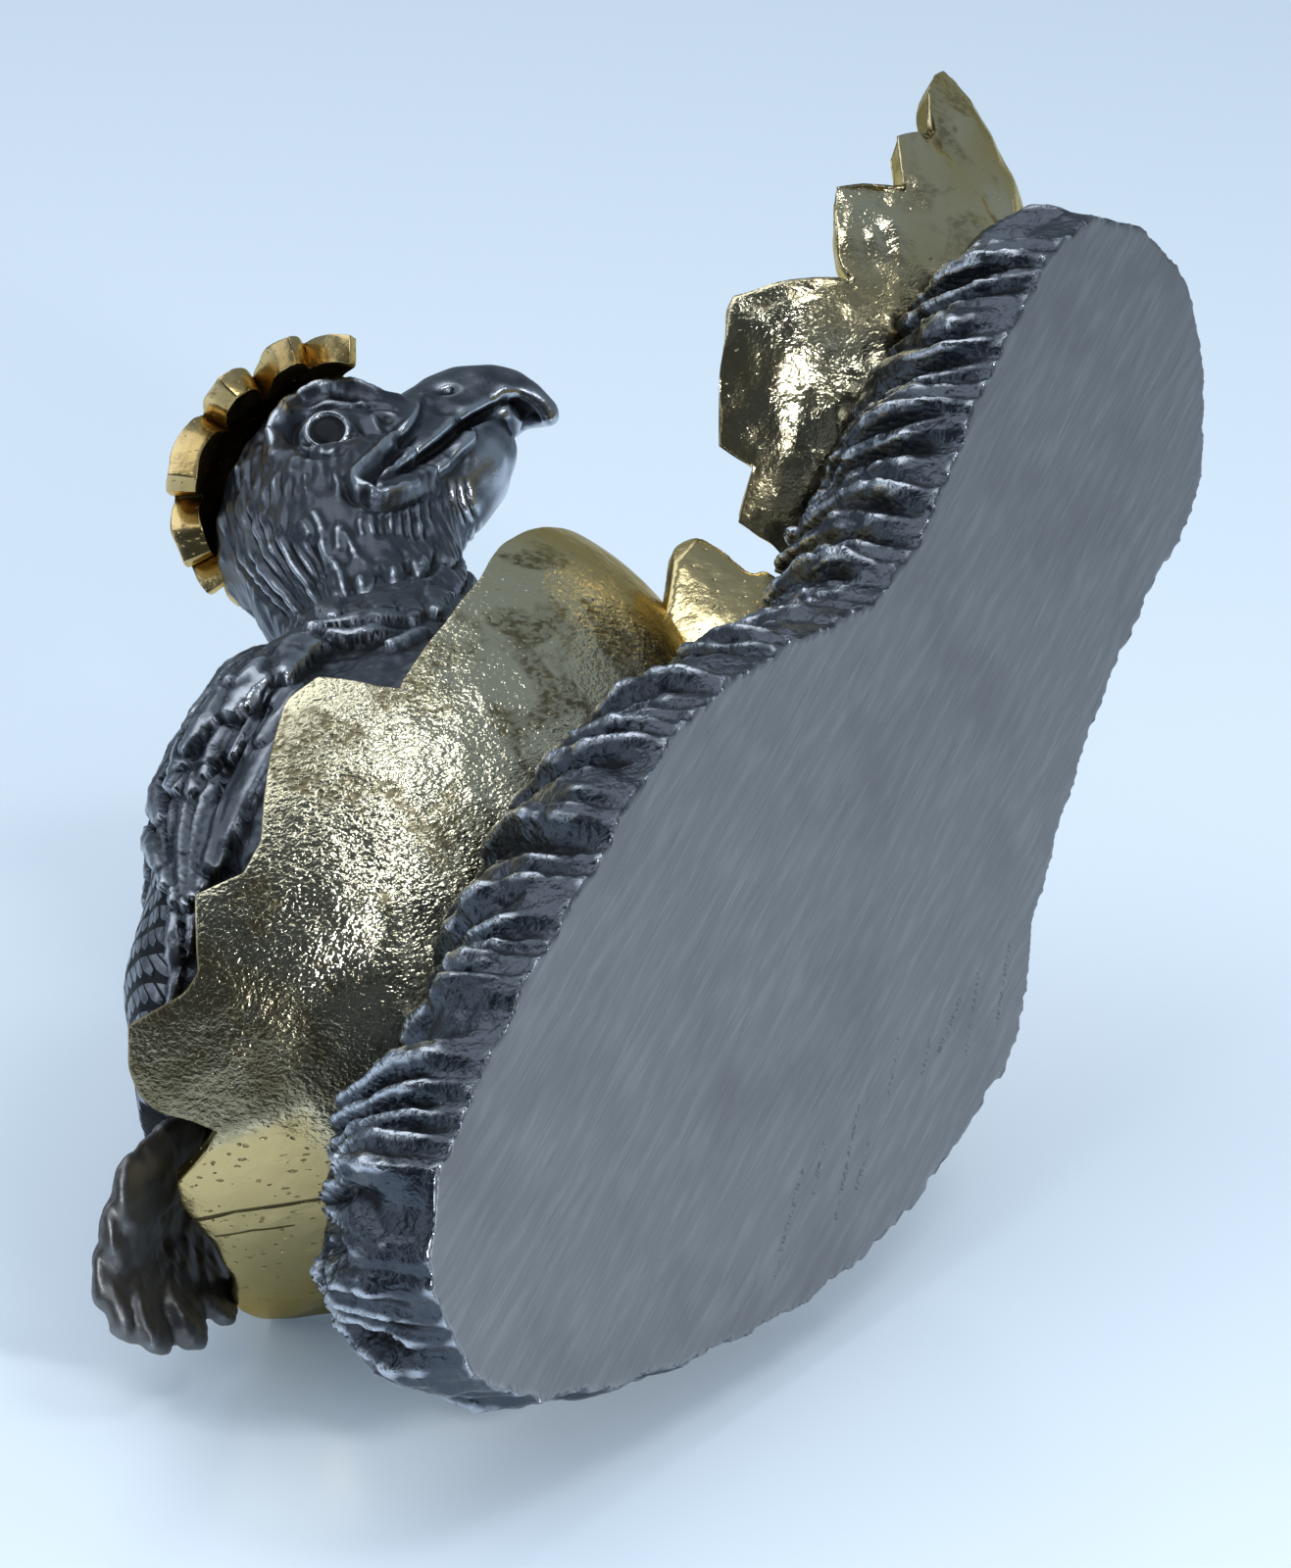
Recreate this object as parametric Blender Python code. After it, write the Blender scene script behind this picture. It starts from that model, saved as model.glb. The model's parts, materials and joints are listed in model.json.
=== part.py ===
"""Pewter eagle chick hatching from a broken, gilded egg on a rocky base.

The frame: +X runs along the base towards the chick's beak, +Y is the chick's left, +Z is up.
The origin is the middle of the flat, sanded underside. Everything is in metres.
The pieces: the rock base, the eagle, the main shell it sits in, the front shell on the
narrow end of the base, a small shard between the two, and the cap of shell on its head.
"""
import math

import bmesh
import bpy
from mathutils import Matrix, Vector

# Base, a peanut-shaped slab of rock with a furrowed rim
BASE_LENGTH = 0.130
BASE_WIDTH = 0.049
ROCK_HEIGHT = 0.0145
MOUND_RISE = 0.0045
RIM_SLOPE = 0.0040
FURROW_DEPTH = 0.0021
FURROWS = 36
RIM_LEVELS = 3

# The egg that broke in two, and its wall
EGG_LENGTH = 0.0782
EGG_WIDTH = 0.0572
SHELL_WALL = 0.0023
SEAT_DEPTH = 0.0006
FRONT_SHELL_LENGTH = 0.0686
FRONT_SHELL_WIDTH = 0.0472
FRONT_SHELL_TURN = math.radians(-32)
FRONT_SEAT_DEPTH = 0.0018

# Small pieces of shell
CAP_RADIUS = 0.0137
CAP_DEPTH = 0.0123
CAP_WALL = 0.0021
CAP_LEAN = (0.0, 0.50, 0.866)
CAP_ON_HEAD = (1.4, -2.4, 1.8)
SHARD_CROWN = 0.0014
SHARD_FOOT = ((0.0115, -0.0108, 0.0140), (0.0185, -0.0108, 0.0140))
SHARD_TOP = ((0.0138, -0.0126, 0.0196), (0.0243, -0.0144, 0.0266))

# The eagle, drawn on a grid of 130 units from its beak to its tail
EAGLE_LENGTH = 0.130
GRID = EAGLE_LENGTH / 130

# Clearance between pieces that touch
FIT_GAP = 0.0003

# Where the shells stand, as shares of the base's length
MAIN_PLACE = (-0.104, -0.035)
FRONT_PLACE = (0.400, -0.084)

# The underside's outline from the beak end round by the chick's left, as shares of the
# base's length and of its width
BASE_OUTLINE = [
    (0.500, -0.215), (0.480, -0.050), (0.425, 0.100), (0.330, 0.140), (0.225, 0.215), (0.110, 0.350),
    (0.045, 0.480), (-0.060, 0.500), (-0.165, 0.470), (-0.290, 0.350), (-0.420, 0.160), (-0.490, -0.010),
    (-0.500, -0.190), (-0.465, -0.320), (-0.370, -0.405), (-0.240, -0.465), (-0.130, -0.495),
    (-0.020, -0.430), (0.075, -0.345), (0.150, -0.360), (0.265, -0.450), (0.390, -0.500), (0.465, -0.395),
]
BASE_HEART = (0.040, -0.080)

# Broken edges: turn round the shell in degrees, height as a share of its half height
MAIN_RIM = [
    (-176, -0.42), (-173, -0.30), (-164, -0.20), (-155, -0.22), (-147, -0.37), (-144, -0.40),
    (-133, -0.36), (-130, -0.46), (-125, -0.48), (-114, -0.43), (-104, -0.39), (-99, -0.43), (-96, -0.60),
    (-80, -0.58), (-68, -0.54), (-58, -0.47), (-39, -0.38), (-24, -0.30), (-18, -0.50), (0, -0.44),
    (16, -0.34), (22, -0.52), (40, -0.46), (56, -0.36), (62, -0.55), (80, -0.48), (96, -0.36),
    (102, -0.52), (120, -0.44), (134, -0.30), (142, -0.12), (151, -0.14), (162, -0.24), (177, -0.32),
]
FRONT_RIM = [
    (-172, -0.70), (-158, -0.55), (-150, -0.66), (-139, -0.60), (-133, -0.52), (-124, -0.57), (-119, -0.47),
    (-106, -0.46), (-95, -0.48), (-86, -0.77), (-83, -0.73), (-68, -0.66), (-55, -0.80), (-45, -0.72),
    (-33, -0.76), (-22, -0.66), (4, -0.52), (20, -0.40), (27, -0.60), (45, -0.46), (60, -0.30), (67, -0.50),
    (88, -0.36), (105, -0.28), (112, -0.52), (130, -0.44), (146, -0.40), (153, -0.62), (170, -0.60),
]
CAP_RIM = [
    (-178, -0.50), (-160, -0.42), (-150, -0.60), (-128, -0.44), (-120, -0.60), (-98, -0.46), (-90, -0.62),
    (-66, -0.46), (-56, -0.62), (-34, -0.44), (-24, -0.60), (0, -0.46), (10, -0.62), (34, -0.44),
    (44, -0.60), (70, -0.46), (80, -0.62), (104, -0.42), (116, -0.60), (140, -0.46), (150, -0.62),
]
RIM_BEVEL = 0.55

# The eagle's own grid: the middle of the egg, the skull's middle, and the way it looks
EGG_ON_GRID = Vector((-13.5, -4.5, 42.2))
SKULL_ON_GRID = Vector((38.9, -6.3, 77.5))
FACE_AHEAD = Vector((0.843, 0.055, -0.531)).normalized()
FACE_UP = Vector((0.511, -0.377, 0.772)).normalized()

# Body and neck from the rump forward: middle, half width, half height, all on the grid
BODY = [
    ((-40, -2.0, 43.0), 9.0, 4.5), ((-32, -2.5, 43.5), 13.5, 8.0), ((-21, -3.5, 44.0), 16.5, 12.0),
    ((-8, -4.0, 46.0), 17.5, 16.2), ((4, -4.0, 49.5), 15.6, 17.0), ((14, -4.0, 54.5), 12.6, 13.6),
    ((22, -5.5, 60.0), 9.7, 9.0), ((27.5, -7.0, 65.7), 9.8, 9.3), ((34, -7.0, 71.0), 10.2, 10.0),
    ((38.6, -6.7, 76.8), 9.4, 9.4),
]

# The round belly under it, bedded in the shell
BREAST_ON_GRID = (-8, -4.5, 39.5)
BREAST_RADII = (29, 18, 19)

# Wing feathers in rows from the long ones up: where they start and end along the body, how
# much further back the upper ones reach, the lowest and highest turn, lift and half width
WING_ROWS = [(-5, -43, 4, -10, 56, -0.4, 3.2), (0, -26, 2, -14, 62, 0.1, 3.3), (6, -10, 0, -8, 66, 0.3, 3.0)]
WING_FEATHERS = [6, 6, 5]
FEATHER_ROOT = 2.4


def clear_scene():
    for thing in list(bpy.data.objects):
        bpy.data.objects.remove(thing)


def material(name, colour, roughness, metallic):
    made = bpy.data.materials.new(name)
    made.use_nodes = True
    shader = made.node_tree.nodes["Principled BSDF"]
    shader.inputs["Base Color"].default_value = (*colour, 1.0)
    shader.inputs["Roughness"].default_value = roughness
    shader.inputs["Metallic"].default_value = metallic
    return made


def finish_mesh(name, mesh, finish=None):
    """Turns the faces outward, splits them into triangles and makes an object of the mesh."""
    bmesh.ops.recalc_face_normals(mesh, faces=mesh.faces)
    bmesh.ops.triangulate(mesh, faces=mesh.faces)
    data = bpy.data.meshes.new(name)
    mesh.to_mesh(data)
    mesh.free()
    thing = bpy.data.objects.new(name, data)
    bpy.context.scene.collection.objects.link(thing)
    if finish:
        data.materials.append(finish)
    data.shade_smooth()
    data.set_sharp_from_angle(angle=math.radians(40))
    return thing


def hide_cutter(thing):
    thing.hide_render = True
    thing.display_type = 'WIRE'


def boolean(thing, other, operation):
    """A Boolean that keeps its cutter out of the build."""
    step = thing.modifiers.new(operation.title() + " " + other.name, 'BOOLEAN')
    step.operation = operation
    step.solver = 'MANIFOLD'
    step.object = other
    hide_cutter(other)


def ring(mesh, points):
    return [mesh.verts.new(point) for point in points]


def bridge(mesh, lower, upper):
    count = len(lower)
    for i in range(count):
        j = (i + 1) % count
        mesh.faces.new((lower[i], lower[j], upper[j], upper[i]))


def close_ring(mesh, points, tip):
    """Closes a ring with a fan of triangles to its own tip."""
    end = mesh.verts.new(tip)
    for i in range(len(points)):
        mesh.faces.new((points[i], points[(i + 1) % len(points)], end))


def loft(name, rings, finish=None, start=None, end=None):
    """A closed solid through rings of points, with a pointed or a flat cap at each end."""
    mesh = bmesh.new()
    rows = [ring(mesh, points) for points in rings]
    for lower, upper in zip(rows, rows[1:]):
        bridge(mesh, lower, upper)
    for row, tip in ((rows[0], start), (rows[-1], end)):
        if tip is None:
            mesh.faces.new(row)
        else:
            close_ring(mesh, row, tip)
    return finish_mesh(name, mesh, finish)


def closed_curve(points, count):
    """Evenly spaced points along a smooth closed curve through the given ones."""
    fine = []
    total = len(points)
    steps = 24
    for k in range(total):
        p0, p1, p2, p3 = (Vector(points[(k + j - 1) % total]) for j in range(4))
        for s in range(steps):
            t = s / steps
            fine.append(0.5 * (2 * p1 + (p2 - p0) * t + (2 * p0 - 5 * p1 + 4 * p2 - p3) * t * t
                               + (3 * p1 - p0 - 3 * p2 + p3) * t ** 3))
    lengths = [0.0]
    for a, b in zip(fine, fine[1:] + fine[:1]):
        lengths.append(lengths[-1] + (b - a).length)
    spaced = []
    at = 0
    for i in range(count):
        goal = lengths[-1] * i / count
        while lengths[at + 1] < goal:
            at += 1
        share = (goal - lengths[at]) / (lengths[at + 1] - lengths[at])
        spaced.append(fine[at].lerp(fine[(at + 1) % len(fine)], share))
    return spaced


def between(corners, turn):
    """Height of a broken edge at a turn, straight between its corners."""
    ordered = sorted(corners)
    ordered = [(ordered[-1][0] - 360, ordered[-1][1])] + ordered + [(ordered[0][0] + 360, ordered[0][1])]
    for (a, low), (b, high) in zip(ordered, ordered[1:]):
        if a <= turn <= b:
            return low + (high - low) * (turn - a) / (b - a)
    return ordered[0][1]


def rim_turns(corners, widest):
    """The turns of the columns: each corner, and more between corners that are far apart."""
    ordered = sorted(corners)
    turns = []
    for k, (a, _) in enumerate(ordered):
        b = ordered[(k + 1) % len(ordered)][0] + (360 if k + 1 == len(ordered) else 0)
        parts = max(1, math.ceil((b - a) / widest))
        turns += [a + (b - a) * i / parts for i in range(parts)]
    return turns


class Shell:
    """One bowl of broken eggshell: an ovoid, its broken edge and its wall."""

    def __init__(self, middle, radii, corners, wall, widest, rows, frame=None):
        self.middle = Vector(middle)
        self.radii = Vector(radii)
        self.corners = corners
        self.wall = wall
        self.widest = widest
        self.rows = rows
        self.frame = frame or Matrix.Identity(3)

    def point(self, turn, lift, inset):
        radii = self.radii - Vector((inset, inset, inset))
        local = Vector((math.cos(lift) * math.cos(turn) * radii.x, math.cos(lift) * math.sin(turn) * radii.y,
                        math.sin(lift) * radii.z))
        return self.middle + self.frame @ local

    def lift_at(self, height, inset):
        """The angle on the ovoid at which it reaches this height over its middle."""
        share = max(-0.98, min(0.98, height / (self.radii.z - inset)))
        return math.asin(share)

    def build(self, name, finish=None, grow=0.0, grow_rim=0.0):
        """The bowl itself, or with grow the room it takes up."""
        mesh = bmesh.new()
        turns = [math.radians(t) for t in rim_turns(self.corners, self.widest)]
        heights = [between(self.corners, t) * self.radii.z for t in rim_turns(self.corners, self.widest)]
        walls = []
        for inset, raised in ((-grow, 0.0), (self.wall + grow, RIM_BEVEL * self.wall)):
            rows = []
            for k in range(self.rows):
                share = (k / self.rows) ** 0.85
                row = []
                for turn, height in zip(turns, heights):
                    top = self.lift_at(height + raised + grow_rim, inset)
                    lift = top + (-math.pi / 2 - top) * share
                    row.append(self.point(turn, lift, inset))
                rows.append(ring(mesh, row))
            for lower, upper in zip(rows, rows[1:]):
                bridge(mesh, lower, upper)
            close_ring(mesh, rows[-1], self.point(0, -math.pi / 2, inset))
            walls.append(rows)
        bridge(mesh, walls[0][0], walls[1][0])
        return finish_mesh(name, mesh, finish)

    def ovoid(self, name, inset, top=1.0, sides=30, rows=12):
        """The whole ovoid as a solid, cut flat at a share of its half height."""
        radii = self.radii - Vector((inset, inset, inset))
        highest = math.asin(top) if top < 1.0 else math.pi / 2 * 0.98
        rings = []
        for k in range(1, rows + 1):
            lift = -math.pi / 2 + (highest + math.pi / 2) * k / rows
            rings.append([self.point(2 * math.pi * (i + 0.4) / sides, lift, inset) for i in range(sides)])
        foot = self.middle + self.frame @ Vector((0, 0, -radii.z))
        return loft(name, rings, start=foot)


def on_base(place, height):
    return Vector((place[0] * BASE_LENGTH, place[1] * BASE_LENGTH, height))


def base_outline(count):
    points = [(x * BASE_LENGTH, y * BASE_WIDTH, 0.0) for x, y in BASE_OUTLINE]
    return closed_curve(points, count)


def knob(column, level):
    """How far a rim point stands out or in, from furrow to ridge, between -1 and 1."""
    wander = 0.55 * math.sin(column * 0.73 + level * 1.9) + 0.45 * math.sin(column * 0.31 - level * 1.3)
    beat = math.cos(2 * math.pi * column / 3 + 0.6 * wander)
    return beat * (0.75 + 0.25 * math.sin(column * 1.17))


def rock_base(finish):
    """The slab: a flat underside, a furrowed rim that leans in, and a low mound on top."""
    count = 3 * FURROWS
    outline = base_outline(count)
    heart = Vector((BASE_HEART[0] * BASE_LENGTH, BASE_HEART[1] * BASE_WIDTH, 0))
    outward = []
    for i in range(count):
        along = (outline[(i + 1) % count] - outline[i - 1]).normalized()
        outward.append(Vector((along.y, -along.x, 0)))
    rings = []
    for level in range(RIM_LEVELS + 1):
        t = level / RIM_LEVELS
        row = []
        for i in range(count):
            swell = FURROW_DEPTH * knob(i, level) * math.sin(math.pi * (0.05 + 0.65 * t))
            lean = -RIM_SLOPE * t * t + 0.5 * FURROW_DEPTH * math.sin(math.pi * t)
            lip = 0.6 * FURROW_DEPTH * t * knob(i + 1, level)
            height = ROCK_HEIGHT * t + lip
            row.append(outline[i] + outward[i] * (swell + lean) + Vector((0, 0, height if level else 0)))
        rings.append(row)
    edge = rings[-1]
    for share in (0.86, 0.55):
        row = []
        for i in range(count):
            spot = heart.lerp(edge[i], share)
            rise = MOUND_RISE * (1 - share ** 3) * (0.7 + 0.3 * math.sin(i * 0.9 + share * 9))
            row.append(Vector((spot.x, spot.y, ROCK_HEIGHT + rise)))
        rings.append(row)
    peak = Vector((heart.x, heart.y, ROCK_HEIGHT + MOUND_RISE))
    return loft("rock_base", rings, finish, end=peak)


def shells():
    rock_top = ROCK_HEIGHT
    main = Shell(on_base(MAIN_PLACE, rock_top - SEAT_DEPTH + EGG_WIDTH / 2),
                 (EGG_LENGTH / 2, EGG_WIDTH / 2, EGG_WIDTH / 2), MAIN_RIM, SHELL_WALL, 9, 5)
    front = Shell(on_base(FRONT_PLACE, rock_top - FRONT_SEAT_DEPTH + FRONT_SHELL_WIDTH / 2),
                  (FRONT_SHELL_LENGTH / 2, FRONT_SHELL_WIDTH / 2, FRONT_SHELL_WIDTH / 2), FRONT_RIM,
                  SHELL_WALL, 12, 4, Matrix.Rotation(FRONT_SHELL_TURN, 3, 'Z'))
    return main, front


class Figure:
    """The eagle's own grid, placed so that its egg is the main shell's."""

    def __init__(self, main):
        self.start = main.middle - EGG_ON_GRID * GRID
        self.ahead = FACE_AHEAD
        self.up = (FACE_UP - FACE_UP.dot(self.ahead) * self.ahead).normalized()
        self.left = self.up.cross(self.ahead)
        self.skull = self.at(SKULL_ON_GRID)

    def at(self, spot):
        return self.start + Vector(spot) * GRID

    def on_head(self, ahead, left, up):
        """A point on the head, in grid units from the skull's middle."""
        return self.skull + (self.ahead * ahead + self.left * left + self.up * up) * GRID


def oval(middle, across, upward, half_width, half_height, sides, flat=1.0):
    """An oval section; flat under 1 squashes its lower half."""
    points = []
    for i in range(sides):
        turn = 2 * math.pi * i / sides
        rise = math.sin(turn)
        rise *= half_height * (flat if rise < 0 else 1.0)
        points.append(middle + across * (half_width * math.cos(turn)) + upward * rise)
    return points


def spine_loft(figure, name, stations, sides):
    """A solid along a spine, each section square to the way the spine runs."""
    spots = [figure.at(s[0]) for s in stations]
    rings = []
    for k, (spot, station) in enumerate(zip(spots, stations)):
        ahead = (spots[min(k + 1, len(spots) - 1)] - spots[max(k - 1, 0)]).normalized()
        across = Vector((0, 0, 1)).cross(ahead).normalized()
        upward = ahead.cross(across)
        rings.append(oval(spot, across, upward, station[1] * GRID, station[2] * GRID, sides))
    return loft(name, rings)


def head_loft(figure, name, stations, sides, tip=None):
    """A solid on the head from sections: ahead, up, half width, half height above and below."""
    rings = []
    for ahead, up, half_width, above, below in stations:
        middle = figure.on_head(ahead, 0, up)
        rings.append(oval(middle, figure.left, figure.up, half_width * GRID, above * GRID, sides, below / above))
    return loft(name, rings, end=figure.on_head(*tip) if tip else None)


def blade(name, route, normal, half_width, thickness, tip_share=0.45, root=1.0):
    """A feather: a flat six-sided section along a route, its underside root times as deep."""
    rings = []
    last = len(route) - 1
    for k, spot in enumerate(route):
        along = (route[min(k + 1, last)] - route[max(k - 1, 0)]).normalized()
        across = normal.cross(along).normalized()
        upward = along.cross(across)
        share = k / last
        width = half_width * (0.62 + 0.38 * math.sin(math.pi * min(1.0, share * 0.9 + 0.1)))
        if k == last:
            width = half_width * tip_share
        thick = thickness * (1.0 - 0.35 * share)
        rings.append([spot + across * width, spot + across * width * 0.45 + upward * thick,
                      spot - across * width * 0.45 + upward * thick, spot - across * width,
                      spot - across * width * 0.45 - upward * thick * root,
                      spot + across * width * 0.45 - upward * thick * root])
    end = route[-1] + (route[-1] - route[-2]).normalized() * half_width * 0.35
    return loft(name, rings, end=end)


def curve_between(start, bend, end, count):
    """Points along the smooth curve that leaves start towards bend and comes to end."""
    points = []
    for k in range(count):
        t = k / (count - 1)
        points.append(start * (1 - t) ** 2 + bend * 2 * t * (1 - t) + end * t * t)
    return points


def on_flank(figure, x, turn, lift, side):
    """A point on the body's side: turn is 0 at the flank and 90 on the back; and its normal."""
    spots = [(s[0], s[1], s[2]) for s in BODY]
    x = max(spots[0][0][0], min(spots[-1][0][0], x))
    for (low, w0, h0), (high, w1, h1) in zip(spots, spots[1:]):
        if low[0] <= x <= high[0]:
            break
    t = (x - low[0]) / (high[0] - low[0])
    middle = Vector(low).lerp(Vector(high), t)
    wide = w0 + (w1 - w0) * t + lift
    tall = h0 + (h1 - h0) * t + lift
    slope = (Vector(high) - Vector(low)).normalized()
    upward = slope.cross(Vector((0, 0, 1)).cross(slope).normalized())
    turn = math.radians(turn)
    out = Vector((0, side, 0))
    spot = middle + out * wide * math.cos(turn) + upward * tall * math.sin(turn)
    normal = (out * math.cos(turn) / wide + upward * math.sin(turn) / tall).normalized()
    return figure.at(spot), normal


def wing(figure, side):
    """One folded wing: three rows of feathers laid along the body from the shoulder back."""
    name = "wing right" if side < 0 else "wing left"
    parts = []
    for row, (first, last, reach, low, high, lift, wide) in enumerate(WING_ROWS):
        count = WING_FEATHERS[row]
        for k in range(count):
            share = k / (count - 1)
            turn = low + (high - low) * share
            start = first + 3 * math.sin(k * 2.1)
            end = last + reach * share
            route = []
            normals = []
            for j in range(4):
                t = j / 3
                rise = lift * (1 - 0.4 * t) - 2.0 * (1 - t) ** 4
                spot, normal = on_flank(figure, start + (end - start) * t, turn + 10 * (0.5 - t), rise, side)
                route.append(spot)
                normals.append(normal)
            parts.append(blade(f"{name} {row}.{k}", route, normals[2], wide * GRID, 1.3 * GRID,
                               root=FEATHER_ROOT))
    return parts


def tail(figure):
    """The tail's fan, drooping over the shell's edge."""
    parts = []
    feathers = 6
    for k in range(feathers):
        spread = 2 * k / (feathers - 1) - 1
        root = figure.at((-33, -1.5 + 6 * spread, 46.0))
        bend = figure.at((-45, -1.2 + 7 * spread, 45.0 - abs(spread)))
        end = figure.at((-57.5 + 7.5 * spread * spread, -0.6 + 7.6 * spread, 38.0 - 0.8 * spread))
        normal = Vector((-0.3, 0.12 * spread, 1)).normalized()
        parts.append(blade(f"tail feather {k}", curve_between(root, bend, end, 4), normal,
                           2.3 * GRID, 1.2 * GRID, 0.75))
    return parts


def head(figure):
    """Skull, brows, eyes and the hooked beak."""
    skull = head_loft(figure, "skull", [
        (-10.0, -1.0, 2.5, 2.2, 3.0), (-8.5, -0.6, 5.2, 4.8, 6.0), (-5.0, 0, 8.6, 8.0, 9.4),
        (0, 0.4, 10.0, 10.4, 10.2), (5, 0.3, 9.5, 11.2, 9.5), (9.5, -0.2, 8.0, 10.4, 8.0),
        (12.6, -0.8, 6.2, 8.0, 6.4), (14.6, -1.2, 4.4, 5.2, 4.8)], 16)
    upper = head_loft(figure, "upper beak", [
        (7, 0.6, 6.2, 5.6, 4.8), (12, 1.6, 5.5, 5.6, 4.7), (16, 2.2, 4.6, 5.0, 4.0),
        (19.5, 2.2, 3.5, 4.2, 3.2), (22.2, 1.2, 2.5, 3.6, 2.8), (23.4, 0.4, 1.5, 2.4, 2.4)], 10,
        (23.2, 0, -2.6))
    lower = head_loft(figure, "lower beak", [
        (3, -6.5, 6.2, 2.2, 6.0), (8, -5.4, 5.5, 2.4, 5.6), (13, -4.0, 4.5, 2.3, 5.1),
        (17, -2.6, 3.4, 1.9, 4.2), (19.4, -1.6, 2.4, 1.6, 2.8)], 10, (20.8, 0, -1.0))
    parts = [skull, upper, lower]
    for side in (-1, 1):
        brow = []
        for ahead, out, up, size in ((-3.0, 8.6, 2.8, 1.0), (0.5, 8.7, 4.8, 1.6), (5.4, 7.9, 6.2, 1.9),
                                     (10, 6.5, 5.6, 1.8), (13.5, 4.6, 3.8, 1.2)):
            brow.append(oval(figure.on_head(ahead, side * out, up), figure.left, figure.up, size * GRID,
                             size * 0.9 * GRID, 6))
        parts.append(loft(f"brow {side}", brow))
        eye = []
        for out, size in ((6.5, 2.7), (8.9, 2.7), (9.7, 2.0), (9.9, 1.0)):
            middle = figure.on_head(3.0, side * out, 1.7)
            eye.append(oval(middle, figure.ahead, figure.up, size * GRID, size * 0.85 * GRID, 8))
        parts.append(loft(f"eye {side}", eye))
    return parts


def eagle(figure, main, finish):
    """Body, wings, tail and head as one casting, bedded in the shell."""
    body = spine_loft(figure, "eagle", BODY, 18)
    body.data.materials.append(finish)
    bedding = main.ovoid("bedding", SHELL_WALL + 3 * FIT_GAP, -0.72, 28, 5)
    breast = Shell(figure.at(BREAST_ON_GRID), [GRID * r for r in BREAST_RADII], [], 0, 0, 0)
    parts = [bedding, breast.ovoid("breast", 0, 1.0, 22, 11)] + wing(figure, -1) + wing(figure, 1) + tail(figure) + head(figure)
    for part in parts:
        boolean(body, part, 'UNION')
    room = main.build("room of the main shell", grow=FIT_GAP, grow_rim=FIT_GAP)
    boolean(body, room, 'DIFFERENCE')
    return body


def head_cap(figure, body, finish):
    """The scalloped cap of shell on the crown, and the room for it on the head."""
    axis = (figure.up * CAP_LEAN[2] + figure.left * CAP_LEAN[1] + figure.ahead * CAP_LEAN[0]).normalized()
    across = axis.cross(figure.ahead).normalized()
    frame = Matrix((across.cross(axis), across, -axis)).transposed()
    middle = figure.on_head(*CAP_ON_HEAD)
    cap = Shell(middle, (CAP_RADIUS, CAP_RADIUS, CAP_DEPTH), CAP_RIM, CAP_WALL, 18, 4, frame)
    room = cap.build("room of the cap", grow=FIT_GAP, grow_rim=FIT_GAP)
    boolean(body, room, 'DIFFERENCE')
    return cap.build("head_cap", finish)


def shard(name, finish=None, grow=0.0):
    """A small curved shard of shell that stands in the rock between the two bowls."""
    feet = [Vector(spot) for spot in SHARD_FOOT]
    tops = [Vector(spot) for spot in SHARD_TOP]
    along = (feet[1] - feet[0]).normalized()
    outward = along.cross(tops[1] - feet[1]).normalized()
    columns = 6
    rows = 5
    mesh = bmesh.new()
    faces = []
    for depth in (grow, -SHELL_WALL - grow):
        grid = []
        for r in range(rows):
            up = r / (rows - 1)
            row = []
            for c in range(columns):
                across = c / (columns - 1)
                spot = feet[0].lerp(feet[1], across).lerp(tops[0].lerp(tops[1], across ** 1.4), up)
                bulge = SHARD_CROWN * (math.sin(math.pi * across) - 0.5)
                spot += outward * (bulge + depth) + along * grow * (2 * across - 1)
                spot.z += grow * (2 * up - 1)
                row.append(mesh.verts.new(spot))
            grid.append(row)
        faces.append(grid)
    for grid in faces:
        for low, high in zip(grid, grid[1:]):
            for i in range(columns - 1):
                mesh.faces.new((low[i], low[i + 1], high[i + 1], high[i]))
    outer_edge, inner_edge = (patch_edge(grid) for grid in faces)
    for i in range(len(outer_edge)):
        j = (i + 1) % len(outer_edge)
        mesh.faces.new((outer_edge[i], outer_edge[j], inner_edge[j], inner_edge[i]))
    return finish_mesh(name, mesh, finish)


def patch_edge(grid):
    """The corners round the outside of a grid of points, in order."""
    return grid[0][:-1] + [row[-1] for row in grid[:-1]] + grid[-1][:0:-1] + [row[0] for row in grid[:0:-1]]


def main_part():
    clear_scene()
    pewter = material("Pewter", (0.20, 0.21, 0.23), 0.38, 1.0)
    sanded = material("Sanded pewter", (0.36, 0.37, 0.38), 0.45, 1.0)
    gold = material("Gilding", (0.80, 0.62, 0.26), 0.22, 1.0)
    main, front = shells()
    rock = rock_base(sanded)
    main.build("main_shell", gold)
    front.build("front_shell", gold)
    for shell, name in ((main, "seat of the main shell"), (front, "seat of the front shell")):
        boolean(rock, shell.ovoid(name, -FIT_GAP), 'DIFFERENCE')
    figure = Figure(main)
    body = eagle(figure, main, pewter)
    head_cap(figure, body, gold)
    shard("shell_shard", gold)
    boolean(rock, shard("slot of the shard", grow=2 * FIT_GAP), 'DIFFERENCE')


main_part()
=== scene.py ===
"""Looks of the pewter eagle chick hatching from its gilded egg on a rocky base.

The pieces are worked in millimetres and set in metres, in the frame of the part: +X along the base
towards the beak, +Y the chick's left, +Z up, the origin in the middle of the flat underside.
Marks that are laid on are given in pixels of the picture, and each lands on the metal that
the camera sees there. The far side gets the same marks mirrored.
"""
import json
import math
from contextlib import contextmanager

import bpy
import numpy as np
from mathutils import Matrix, Vector, noise
from mathutils.bvhtree import BVHTree

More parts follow.
